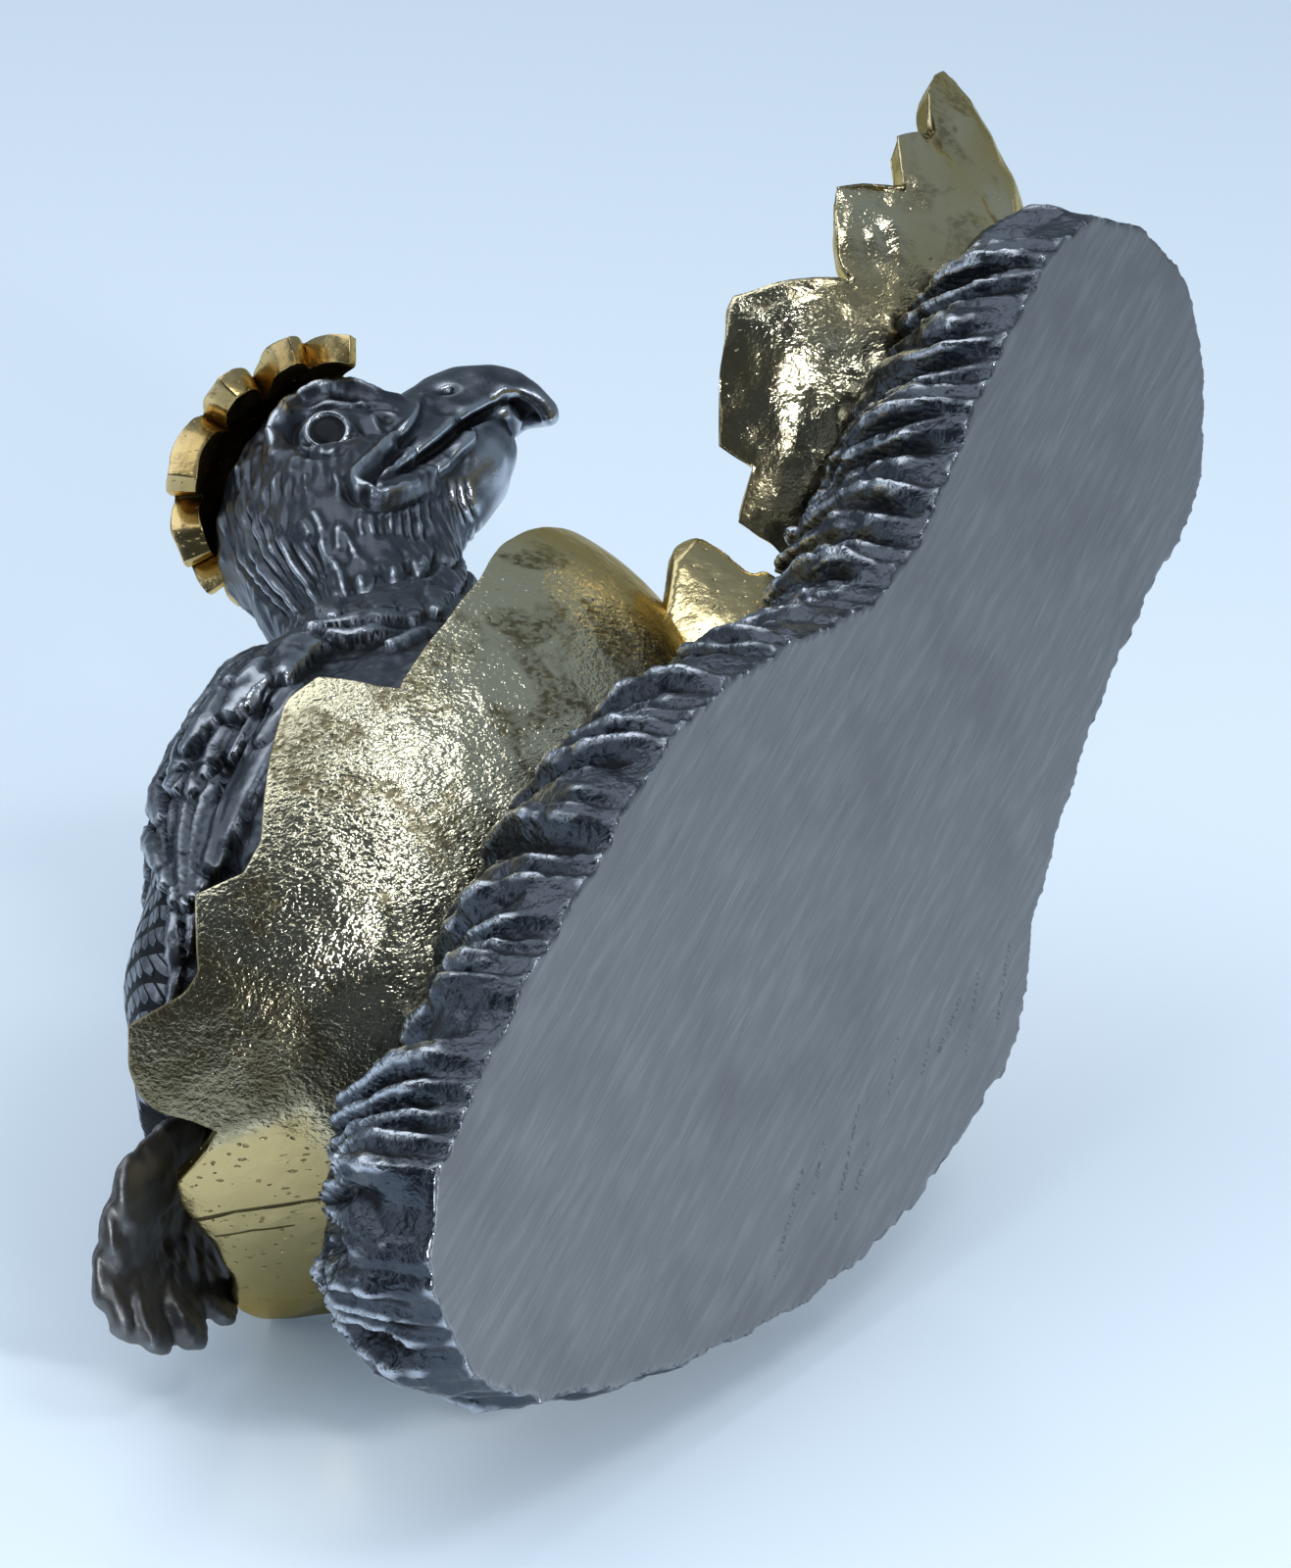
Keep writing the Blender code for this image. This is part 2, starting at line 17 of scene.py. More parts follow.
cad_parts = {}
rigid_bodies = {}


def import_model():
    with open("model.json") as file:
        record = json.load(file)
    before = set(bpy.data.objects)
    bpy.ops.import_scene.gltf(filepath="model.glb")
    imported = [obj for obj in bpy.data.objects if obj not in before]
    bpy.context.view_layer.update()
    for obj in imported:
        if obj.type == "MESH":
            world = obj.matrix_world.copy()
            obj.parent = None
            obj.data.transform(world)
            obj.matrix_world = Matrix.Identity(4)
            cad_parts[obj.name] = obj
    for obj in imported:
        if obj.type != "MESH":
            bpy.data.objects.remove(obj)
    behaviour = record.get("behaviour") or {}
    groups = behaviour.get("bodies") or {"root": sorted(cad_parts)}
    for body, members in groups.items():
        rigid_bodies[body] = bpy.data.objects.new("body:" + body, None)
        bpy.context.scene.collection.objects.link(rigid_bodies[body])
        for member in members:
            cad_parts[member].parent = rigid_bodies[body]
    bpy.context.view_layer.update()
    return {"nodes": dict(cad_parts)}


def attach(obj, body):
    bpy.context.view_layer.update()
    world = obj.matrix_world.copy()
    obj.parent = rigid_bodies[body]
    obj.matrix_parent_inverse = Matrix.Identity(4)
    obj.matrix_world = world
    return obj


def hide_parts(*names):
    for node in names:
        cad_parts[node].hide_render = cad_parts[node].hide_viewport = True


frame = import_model()

MM = 0.001

# The camera: where it stands, the way it looks, what is up, and its focal length in pixels
CAMERA_PLACE = Vector((-0.29084401, -0.21748889, -0.23107230))
CAMERA_AHEAD = Vector((0.66270792, 0.48148549, 0.57357644))
CAMERA_UP = Vector((0.58778525, -0.80901699, 0.0))
CAMERA_RIGHT = CAMERA_AHEAD.cross(CAMERA_UP)
PICTURE_WIDTH = 1317
PICTURE_HEIGHT = 1600
FOCAL_PIXELS = 5686.437
SENSOR = 36.0

# The table that the piece lies on, tilted against the camera's line of sight
TABLE_TILT = math.radians(20)
TABLE_SIZE = 3.0
TABLE_UP = CAMERA_UP * math.cos(TABLE_TILT) - CAMERA_AHEAD * math.sin(TABLE_TILT)

# The egg's two bowls in millimetres: middle, half sizes, turn, wall, and how much of the wall's
# thickness the inner edge stands above the outer
MAIN_MIDDLE = (-13.52, -4.55, 42.5)
MAIN_RADII = (39.1, 28.6, 28.6)
FRONT_MIDDLE = (52.0, -10.92, 36.3)
FRONT_RADII = (34.3, 23.6, 23.6)
FRONT_TURN = math.radians(-32)
WALL = 2.3
RIM_RAISE = 0.55
SHARP_EDGE = math.radians(38)

# Broken edges: turn round the bowl in degrees, height as a share of its half height
MAIN_RIM = [
    (-180, -0.28), (-176, -0.29), (-172, -0.38), (-169, -0.42), (-166, -0.36), (-164, -0.29), (-161, -0.25),
    (-157, -0.23), (-151, -0.23), (-147, -0.37), (-144, -0.40),
    (-133, -0.36), (-130, -0.46), (-125, -0.48), (-114, -0.43), (-104, -0.39), (-99, -0.43), (-96, -0.60),
    (-80, -0.58), (-68, -0.54), (-58, -0.47), (-39, -0.38), (-24, -0.30), (-18, -0.50), (0, -0.44),
    (16, -0.34), (22, -0.52), (40, -0.46), (56, -0.36), (62, -0.55), (80, -0.48), (96, -0.36),
    (102, -0.52), (120, -0.44), (134, -0.30), (142, -0.12), (151, -0.16), (156, -0.20), (162, -0.27),
    (171, -0.30), (176, -0.29),
]
FRONT_RIM = [
    (-172, -0.70), (-158, -0.55), (-150, -0.66), (-139, -0.60), (-133, -0.52), (-124, -0.57), (-119, -0.47),
    (-106, -0.46), (-95, -0.48), (-86, -0.77), (-83, -0.73), (-68, -0.66), (-55, -0.80), (-45, -0.72),
    (-33, -0.76), (-22, -0.66), (4, -0.52), (20, -0.40), (27, -0.60), (45, -0.46), (60, -0.30), (67, -0.50),
    (88, -0.36), (105, -0.28), (112, -0.52), (130, -0.44), (146, -0.40), (153, -0.62), (170, -0.60),
]
CAP_RIM = [
    (-180, -0.24), (-174, -0.28), (-168, -0.40), (-163, -0.58), (-157, -0.30), (-150, -0.24), (-142, -0.34),
    (-134, -0.46), (-127, -0.56), (-121, -0.70), (-115, -0.54), (-106, -0.46), (-98, -0.50), (-92, -0.58),
    (-87, -0.74), (-82, -0.42), (-75, -0.28), (-70, -0.34), (-65, -0.48), (-60, -0.20), (-54, -0.10),
    (-49, -0.20), (-46, -0.62), (-34, -0.70), (-20, -0.66), (-8, -0.62), (4, -0.50), (16, -0.46),
    (24, -0.74), (36, -0.46), (50, -0.44), (60, -0.78), (74, -0.46), (88, -0.44), (97, -0.76),
    (110, -0.48), (122, -0.46), (129, -0.66), (135, -0.46), (142, -0.42), (148, -0.50), (152, -0.62),
    (156, -0.30), (161, -0.16), (166, -0.26), (169, -0.42), (172, -0.26), (176, -0.20),
]
CAP_RADII = (14.0, 14.0, 12.3)
CAP_WALL = 2.6

# The head's own axes, and its skull's middle
SKULL_MIDDLE = Vector((38.88, -6.35, 77.8))
HEAD_AHEAD = Vector((0.843, 0.055, -0.531)).normalized()
HEAD_UP = Vector((0.511, -0.377, 0.772))
HEAD_UP = (HEAD_UP - HEAD_UP.dot(HEAD_AHEAD) * HEAD_AHEAD).normalized()
HEAD_LEFT = HEAD_UP.cross(HEAD_AHEAD)
HEAD_AXES = Matrix((HEAD_AHEAD, HEAD_LEFT, HEAD_UP)).transposed()

# Body and neck from the rump forward: middle, half width, half height
BODY_START = Vector((-0.02, -0.05, 0.3))
BODY = [
    ((-43, -1.8, 40.8), 6.0, 2.6), ((-40, -2.0, 41.2), 9.0, 3.9), ((-32, -2.5, 42.8), 13.2, 7.8),
    ((-21, -3.5, 44.0), 15.4, 10.2), ((-8, -4.0, 46.0), 17.0, 15.3), ((4, -4.0, 49.2), 15.4, 15.6),
    ((14, -4.2, 53.5), 12.0, 11.6), ((22, -5.5, 60.0), 9.7, 9.0), ((27.5, -7.0, 65.7), 9.8, 9.3),
    ((34, -7.0, 71.0), 10.2, 10.0), ((38.6, -6.7, 76.8), 9.4, 9.4),
]
BREAST_MIDDLE = (-10.0, -4.55, 39.3)
BREAST_RADII = (24, 16.5, 16.5)

# Head and beak from back to front: ahead, up, half width, height above, depth below
SKULL = [
    (-10.0, -1.0, 2.5, 2.2, 3.0), (-8.5, -0.6, 5.2, 4.8, 6.0), (-5.0, 0.0, 8.6, 8.0, 9.4),
    (0.0, 0.4, 10.0, 10.8, 10.2), (5.0, 0.3, 9.5, 11.9, 8.8), (9.5, -0.2, 8.0, 11.3, 6.8),
    (12.6, -0.8, 6.2, 8.6, 5.4), (14.6, -1.2, 4.4, 5.2, 4.0),
]
UPPER_BEAK = [
    (7.0, 0.6, 6.2, 6.0, 4.8), (12.0, 1.9, 5.5, 6.4, 4.6), (16.0, 3.0, 4.6, 6.2, 4.0),
    (19.0, 3.6, 3.9, 5.6, 3.4), (21.6, 3.2, 3.1, 4.8, 3.2), (23.4, 2.4, 2.3, 3.8, 3.4),
    (24.3, 1.7, 1.3, 2.6, 2.6),
]
LOWER_BEAK = [
    (3.0, -6.3, 6.0, 2.4, 5.0), (8.0, -5.0, 5.3, 2.8, 4.4), (12.5, -3.5, 4.4, 2.9, 4.0),
    (16.0, -2.2, 3.4, 2.6, 3.3), (18.2, -1.2, 2.5, 2.1, 2.3), (19.3, -0.8, 1.4, 1.3, 1.3),
]


# Helpers on objects and meshes


def start_fresh():
    """Leaves nothing selected, so that an operator touches only what comes next."""
    bpy.ops.object.select_all(action='DESELECT')


def pick(thing):
    start_fresh()
    thing.select_set(True)
    bpy.context.view_layer.objects.active = thing


def added(name):
    """The primitive that was just added, under its own name."""
    thing = bpy.context.active_object
    thing.name = name
    thing.data.name = name
    return thing


@contextmanager
def editing(thing):
    """Edit mode with the whole mesh selected, for the steps under it."""
    pick(thing)
    bpy.ops.object.mode_set(mode='EDIT')
    bpy.ops.mesh.select_all(action='SELECT')
    yield
    bpy.ops.object.mode_set(mode='OBJECT')


def face_outward():
    bpy.ops.mesh.select_all(action='SELECT')
    bpy.ops.mesh.normals_make_consistent(inside=False)


def drawn_out(way):
    bpy.ops.mesh.extrude_region_move(TRANSFORM_OT_translate={"value": way})


def finish_with(thing, kind, **settings):
    """Adds a modifier with its settings and applies it."""
    pick(thing)
    step = thing.modifiers.new(kind.title(), kind)
    for name, value in settings.items():
        setattr(step, name, value)
    bpy.ops.object.modifier_apply(modifier=step.name)


def joined(things, name):
    start_fresh()
    for thing in things:
        thing.select_set(True)
    bpy.context.view_layer.objects.active = things[0]
    bpy.ops.object.join()
    return added(name)


def read(items, name, width, kind=np.float32):
    """One property of all points or all edges, a row for each."""
    values = np.empty(len(items) * width, dtype=kind)
    items.foreach_get(name, values)
    return values.reshape(-1, width)


def spots_of(thing):
    return read(thing.data.vertices, "co", 3).astype(float)


def edges_of(thing):
    return read(thing.data.edges, "vertices", 2, np.int32)


def outward_of(thing):
    """The way out of the metal at each point."""
    return read(thing.data.vertex_normals, "vector", 3).astype(float)


def broad_outward(thing, edges):
    """The way out of the metal, evened out over fine relief."""
    outward = relaxed(outward_of(thing), edges, 6)
    return outward / np.maximum(np.linalg.norm(outward, axis=1), 1e-9)[:, None]


def move_to(thing, spots):
    thing.data.vertices.foreach_set("co", np.asarray(spots, dtype=np.float32).ravel())
    thing.data.update()


def rows(spots):
    return np.array([list(spot) for spot in spots])


def relaxed(spots, edges, rounds):
    """The points after each has moved towards the middle of its neighbours, some rounds over."""
    count = len(spots)
    ends = np.concatenate((edges[:, 0], edges[:, 1]))
    others = np.concatenate((edges[:, 1], edges[:, 0]))
    degree = np.maximum(np.bincount(ends, minlength=count), 1)[:, None]
    spots = spots.copy()
    columns = spots.shape[1]
    for _ in range(rounds):
        middle = np.stack([np.bincount(ends, spots[others, c], count) for c in range(columns)], 1) / degree
        spots += (middle - spots) * 0.5
    return spots


def keep_value(thing, name, values):
    """Stores one number for each point, for the finishes to read."""
    layer = thing.data.attributes.new(name, 'FLOAT', 'POINT')
    layer.data.foreach_set("value", np.asarray(values, dtype=np.float32))


def rise(values, low, high):
    """0 under low, 1 over high, and a smooth step between."""
    share = np.clip((values - low) / (high - low), 0, 1)
    return share * share * (3 - 2 * share)


def ripple(spots, size, seed=0.0, octaves=1):
    """Smooth noise between about -1 and 1, with lumps of the given size in metres."""
    shift = Vector((seed * 7.31, seed * 3.17, seed * 5.93))
    values = np.zeros(len(spots))
    for octave in range(octaves):
        scale = 2 ** octave / size
        step = [noise.noise(Vector(spot) * scale + shift) for spot in spots.tolist()]
        values += np.array(step) / 2 ** octave
    return values * 1.6


def drop_crumbs(thing):
    """Leaves only the piece of the mesh that reaches furthest ahead."""
    furthest = int(spots_of(thing)[:, 0].argmax())
    with editing(thing):
        bpy.ops.mesh.select_mode(type='VERT')
        bpy.ops.mesh.select_all(action='DESELECT')
    thing.data.vertices[furthest].select = True
    bpy.ops.object.mode_set(mode='EDIT')
    bpy.ops.mesh.select_linked()
    bpy.ops.mesh.select_all(action='INVERT')
    bpy.ops.mesh.delete(type='VERT')
    bpy.ops.object.mode_set(mode='OBJECT')


def keep_wear(thing, broad=14, depth=0.22):
    """Stores how hollow and how raised each point is, for the patina and the polish."""
    spots = spots_of(thing)
    edges = edges_of(thing)
    outward = outward_of(thing)
    height = np.zeros(len(spots))
    for rounds, weight in ((broad, 0.65), (max(2, broad // 4), 0.55)):
        level = ((spots - relaxed(spots, edges, rounds)) * outward).sum(1) / MM
        height += weight * level
    height = relaxed(height[:, None], edges, 1)[:, 0]
    keep_value(thing, "hollow_and_shade", np.clip(-height / depth, 0, 1))
    keep_value(thing, "raised_and_lit", np.clip(height / depth, 0, 1))


def keep_more(thing, name, values):
    """Adds to a number that is kept for each point, up to 1."""
    kept = thing.data.attributes[name].data
    held = read(kept, "value", 1)[:, 0]
    kept.foreach_set("value", np.clip(held + values, 0, 1).astype(np.float32))


def dress(thing, finish):
    """Gives the piece its one finish, and smooth shading."""
    thing.data.materials.clear()
    thing.data.materials.append(finish)
    pick(thing)
    bpy.ops.object.shade_smooth()


# The picture's pixels


def sight_line(x, y):
    across = (x - PICTURE_WIDTH / 2) / FOCAL_PIXELS
    up = (PICTURE_HEIGHT / 2 - y) / FOCAL_PIXELS
    return (CAMERA_AHEAD + CAMERA_RIGHT * across + CAMERA_UP * up).normalized()


def landing(surface, pixel, heart):
    """Where a pixel of the picture lands on the metal, or the nearest spot of it where it misses."""
    line = sight_line(*pixel)
    spot = surface.ray_cast(CAMERA_PLACE, line)[0]
    if spot is None:
        beside = CAMERA_PLACE + line * (heart - CAMERA_PLACE).dot(line)
        spot = surface.find_nearest(beside)[0]
    return spot


def surface_of(thing):
    return BVHTree.FromObject(thing, bpy.context.evaluated_depsgraph_get())


def near_path(spots, path):
    """Each point's distance from a path, and how far along the path that is, from 0 to 1."""
    path = np.asarray(path, dtype=float)
    lengths = np.linalg.norm(np.diff(path, axis=0), axis=1)
    starts = np.concatenate(([0], np.cumsum(lengths)))
    best = np.full(len(spots), 1e9)
    along = np.zeros(len(spots))
    for k, length in enumerate(lengths):
        step = path[k + 1] - path[k]
        share = np.clip(((spots - path[k]) @ step) / max(length * length, 1e-12), 0, 1)
        distance = np.linalg.norm(spots - path[k] - share[:, None] * step, axis=1)
        closer = distance < best
        best[closer] = distance[closer]
        along[closer] = ((starts[k] + share * length) / starts[-1])[closer]
    return best, along


def smooth_path(points, count):
    """A path through the points without corners."""
    points = [Vector(p) for p in points]
    if len(points) < 3:
        return [points[0].lerp(points[-1], i / (count - 1)) for i in range(count)]
    padded = [2 * points[0] - points[1]] + points + [2 * points[-1] - points[-2]]
    path = []
    for i in range(count):
        at = i / (count - 1) * (len(points) - 1)
        k = min(int(at), len(points) - 2)
        t = at - k
        a, b, c, d = padded[k:k + 4]
        path.append(0.5 * (2 * b + (c - a) * t + (2 * a - 5 * b + 4 * c - d) * t * t
                           + (3 * b - a - 3 * c + d) * t ** 3))
    return path


def smooth_pixels(pixels):
    if len(pixels) < 3:
        return pixels
    return [(p.x, p.y) for p in smooth_path([(x, y, 0) for x, y in pixels], 3 * len(pixels))]


# Finishes


class Socket:
    """A value among the nodes; sums with it add their Math nodes."""

    def __init__(self, nodes, socket):
        self.nodes = nodes
        self.socket = socket

    def __add__(self, other):
        return self.nodes.math('ADD', self, other)

    def __radd__(self, other):
        return self.nodes.math('ADD', other, self)

    def __sub__(self, other):
        return self.nodes.math('SUBTRACT', self, other)

    def __rsub__(self, other):
        return self.nodes.math('SUBTRACT', other, self)

    def __mul__(self, other):
        return self.nodes.math('MULTIPLY', self, other)

    def __rmul__(self, other):
        return self.nodes.math('MULTIPLY', other, self)


class Nodes:
    """Adds the nodes of a material or of the world and joins them."""

    def __init__(self, tree):
        self.tree = tree

    def node(self, kind, settings=None, values=None, output=0):
        """Any node: its settings first, then the values or links of its sockets."""
        made = self.tree.nodes.new(kind)
        for name, value in (settings or {}).items():
            setattr(made, name, value)
        for name, value in (values or {}).items():
            self.give(made, name, value)
        return Socket(self, made.outputs[output])

    def give(self, node, name, value):
        """A node's socket takes a value, or a link from one."""
        if isinstance(value, Socket):
            self.tree.links.new(value.socket, node.inputs[name])
        else:
            node.inputs[name].default_value = value

    def math(self, operation, *values):
        return self.node("ShaderNodeMath", {"operation": operation}, dict(enumerate(values)))

    def vector_math(self, operation, *values):
        output = "Value" if operation in ('LENGTH', 'DOT_PRODUCT', 'DISTANCE') else "Vector"
        return self.node("ShaderNodeVectorMath", {"operation": operation}, dict(enumerate(values)), output)

    def step(self, value, low, high, start=0.0, end=1.0):
        """From one number under low to another over high, smooth between."""
        settings = {"interpolation_type": 'SMOOTHSTEP'}
        values = {"Value": value, "From Min": low, "From Max": high, "To Min": start, "To Max": end}
        return self.node("ShaderNodeMapRange", settings, values)

    def between(self, share, first, second):
        """A number between two others."""
        return self.node("ShaderNodeMix", {"data_type": 'FLOAT'}, {0: share, 2: first, 3: second})


class Finish(Nodes):
    """One material of the piece, built on its own shader."""

    def __init__(self, name, edge=(1, 1, 1, 1)):
        self.material = bpy.data.materials.new(name)
        self.material.use_nodes = True
        super().__init__(self.material.node_tree)
        self.shader = self.tree.nodes["Principled BSDF"]
        self.shader.inputs["Specular Tint"].default_value = edge

    def place(self):
        return self.node("ShaderNodeTexCoord", output="Object")

    def kept(self, name):
        return self.node("ShaderNodeAttribute", {"attribute_name": name}, output="Fac")

    def clouds(self, where, size, detail=2.0, distortion=0.0):
        """Noise with lumps of the given size in millimetres."""
        values = {"Vector": where, "Scale": 1 / (size * MM), "Detail": detail, "Roughness": 0.5,
                  "Distortion": distortion}
        return self.node("ShaderNodeTexNoise", {"noise_dimensions": '3D'}, values, "Fac")

    def stretched(self, where, turn, scale):
        """The place turned and stretched, for a grain that runs one way."""
        values = {"Vector": where, "Rotation": turn, "Scale": scale}
        return self.node("ShaderNodeMapping", {"vector_type": 'TEXTURE'}, values, "Vector")

    def blend(self, share, first, second):
        """A colour between two others."""
        values = {0: share, 6: first, 7: second}
        return self.node("ShaderNodeMix", {"data_type": 'RGBA', "clamp_factor": True}, values, 2)

    def line_distance(self, where, start, end):
        """How far a point is from a straight line between two spots, in metres."""
        start = Vector(start) * MM
        along = Vector(end) * MM - start
        from_start = self.vector_math('SUBTRACT', where, tuple(start))
        share = self.vector_math('DOT_PRODUCT', from_start, tuple(along / along.length_squared))
        share = self.node("ShaderNodeClamp", None, {"Value": share})
        nearest = self.node("ShaderNodeVectorMath", {"operation": 'SCALE'},
                            {0: tuple(along), "Scale": share}, "Vector")
        return self.vector_math('DISTANCE', from_start, nearest)

    def set(self, colour, roughness, metallic, height, depth):
        """Joins what changes over the surface to the shader; height is in units of depth, in mm."""
        bump = self.node("ShaderNodeBump", None,
                         {"Height": height, "Distance": depth * MM, "Strength": 1.0})
        for name, value in (("Base Color", colour), ("Roughness", roughness), ("Metallic", metallic),
                            ("Normal", bump)):
            self.give(self.shader, name, value)
        return self.material


PEWTER_BRIGHT = (0.50, 0.53, 0.58, 1)
PEWTER_MIDDLE = (0.075, 0.085, 0.103, 1)
# Black of the patina in the hollows; the same black is the painted shade on the bare body
PATINA_AND_SHADE = (0.012, 0.013, 0.016, 1)
# Grey of the tail's pewter, painted lighter than the rest to stand in for fill light
TAIL_GREY_PAINTED_LIGHTER = (0.17, 0.165, 0.16, 1)
GOLD = (0.74, 0.67, 0.47, 1)
GOLD_PALE = (0.60, 0.47, 0.22, 1)
GOLD_EDGE = (0.90, 0.76, 0.46, 1)
GOLD_WARM = (0.60, 0.43, 0.18, 1)
# Dark tarnish of the gilding; the same colour is the painted shade on the bowls' inner walls
GOLD_TARNISH_AND_SHADE = (0.13, 0.10, 0.045, 1)


def pewter_colours(finish, hollow_and_shade, raised_and_lit, mottle, middle=PEWTER_MIDDLE, polish=0.28):
    """Antiqued pewter: black in the hollows and in painted shade, grey over the broad metal, bright where it
    is rubbed and where light is painted on the tail.
    """
    dark = finish.step(hollow_and_shade + 0.35 * mottle, 0.30, 0.85)
    bright = finish.step(raised_and_lit + 0.30 * mottle, polish, 0.95)
    grey = finish.blend(bright, middle, PEWTER_BRIGHT)
    colour = finish.blend(dark, grey, PATINA_AND_SHADE)
    roughness = 0.36 - 0.12 * bright + 0.22 * dark
    return colour, roughness, dark


def antique_pewter(name, scaled=False, middle=PEWTER_MIDDLE, dull=0.0):
    finish = Finish(name)
    where = finish.place()
    mottle = finish.clouds(where, 1.6, 3.0) - 0.5
    hollow_and_shade = finish.kept("hollow_and_shade")
    raised_and_lit = finish.kept("raised_and_lit")
    height = 0.5 * finish.clouds(where, 0.9, 3.0, 0.4)
    height = height + 0.25 * finish.clouds(where, 0.25, 1.0)
    if scaled:
        across = finish.kept("scale_across")
        along = finish.kept("scale_along")
        row = finish.math('FLOOR', along)
        shift = finish.math('MODULO', finish.math('ABSOLUTE', row), 2.0) * 0.5
        side = finish.math('FRACT', across + shift + 0.25 * mottle) - 0.5
        tall = finish.math('FRACT', along)
        tip = tall + 1.3 * side * side
        gap = finish.step(tip, 0.66, 0.82)
        gap = finish.math('MAXIMUM', gap, 0.7 * finish.step(finish.math('ABSOLUTE', side), 0.36, 0.48))
        gap = gap * finish.kept("scaled")
        height = height + finish.kept("scaled") * 2.2 * tall - 4.5 * gap
        hollow_and_shade = hollow_and_shade + 1.1 * gap
        raised_and_lit = raised_and_lit + 0.50 * finish.kept("scaled") * (1 - gap)
    colour, roughness, dark = pewter_colours(finish, hollow_and_shade, raised_and_lit, mottle, middle)
    return finish.set(colour, roughness + dull, 1.0 - 0.35 * dark, height, 0.07)


# Rows of small strokes scratched in the underside: both ends of each row on it, in millimetres
SCRATCHED_ROWS = [
    ((9.68, 16.41), (3.95, 20.74)), ((4.35, 15.65), (-0.84, 19.54)), ((0.96, 15.56), (-4.16, 16.92)),
    ((-4.23, 15.31), (-7.53, 17.17)), ((-7.97, 12.46), (-11.46, 15.10)),
    ((-15.32, 13.07), (-22.74, 17.90)), ((-15.96, 16.31), (-19.19, 17.93)),
    ((-20.77, 12.41), (-24.06, 14.41)), ((-24.25, 12.16), (-31.85, 16.05)),
]
SANDING_TURN = math.radians(-9)


def rock_pewter():
    """Cast rock with black hollows, and its underside sanded flat."""
    finish = Finish("Rock pewter")
    where = finish.place()
    mottle = finish.clouds(where, 1.8, 3.0) - 0.5
    colour, roughness, dark = pewter_colours(finish, finish.kept("hollow_and_shade"), finish.kept("raised_and_lit"), mottle,
                                              polish=0.40)
    height = 1.6 * finish.clouds(where, 1.1, 4.0, 0.6) + 0.9 * finish.clouds(where, 0.5, 2.0)
    under = finish.kept("underside")
    lines = finish.clouds(finish.stretched(where, (0, 0, SANDING_TURN), (22, 1, 22)), 0.20, 3.0)
    broad = finish.clouds(finish.stretched(where, (0, 0, SANDING_TURN), (7, 1, 7)), 0.9, 3.0)
    faint = finish.clouds(where, 12.0, 2.0)
    marks = None
    for start, end in SCRATCHED_ROWS:
        away = finish.line_distance(where, (*start, 0), (*end, 0))
        mark = 1 - finish.step(away, 0.16 * MM, 0.34 * MM)
        marks = mark if marks is None else finish.math('MAXIMUM', marks, mark)
    ticks = finish.clouds(finish.stretched(where, (0, 0, math.radians(150)), (0.6, 1.6, 1)), 0.55, 1.0)
    marks = marks * finish.step(ticks, 0.50, 0.58)
    sanded = finish.blend(lines, (0.25, 0.25, 0.255, 1), (0.365, 0.365, 0.37, 1))
    sanded = finish.blend(0.45 * finish.step(broad, 0.42, 0.72), sanded, (0.43, 0.43, 0.435, 1))
    sanded = finish.blend(0.30 * finish.step(faint, 0.45, 0.70), sanded, (0.22, 0.215, 0.21, 1))
    sanded = finish.blend(0.5 * marks, sanded, (0.13, 0.14, 0.16, 1))
    colour = finish.blend(under, colour, sanded)
    roughness = roughness + under * (0.10 + 0.12 * faint - roughness + 0.34)
    sanded_height = 0.22 * lines + 0.18 * broad - 0.6 * marks
    height = height + under * (sanded_height - height)
    return finish.set(colour, roughness - 0.05 * (1 - under), 1.0 - 0.35 * dark * (1 - under), height, 0.12)


# The crack round the tail end of the main bowl, in millimetres
CRACK = [
    (-50.9, -3.0, 34.1), (-49.5, -2.8, 31.2), (-48.3, -2.3, 29.5), (-46.5, -1.5, 27.3), (-44.4, -0.5, 25.3),
]
SECOND_CRACK = [(-50.6, -1.1, 33.8), (-48.9, -0.6, 31.0), (-47.1, 0.3, 28.6)]


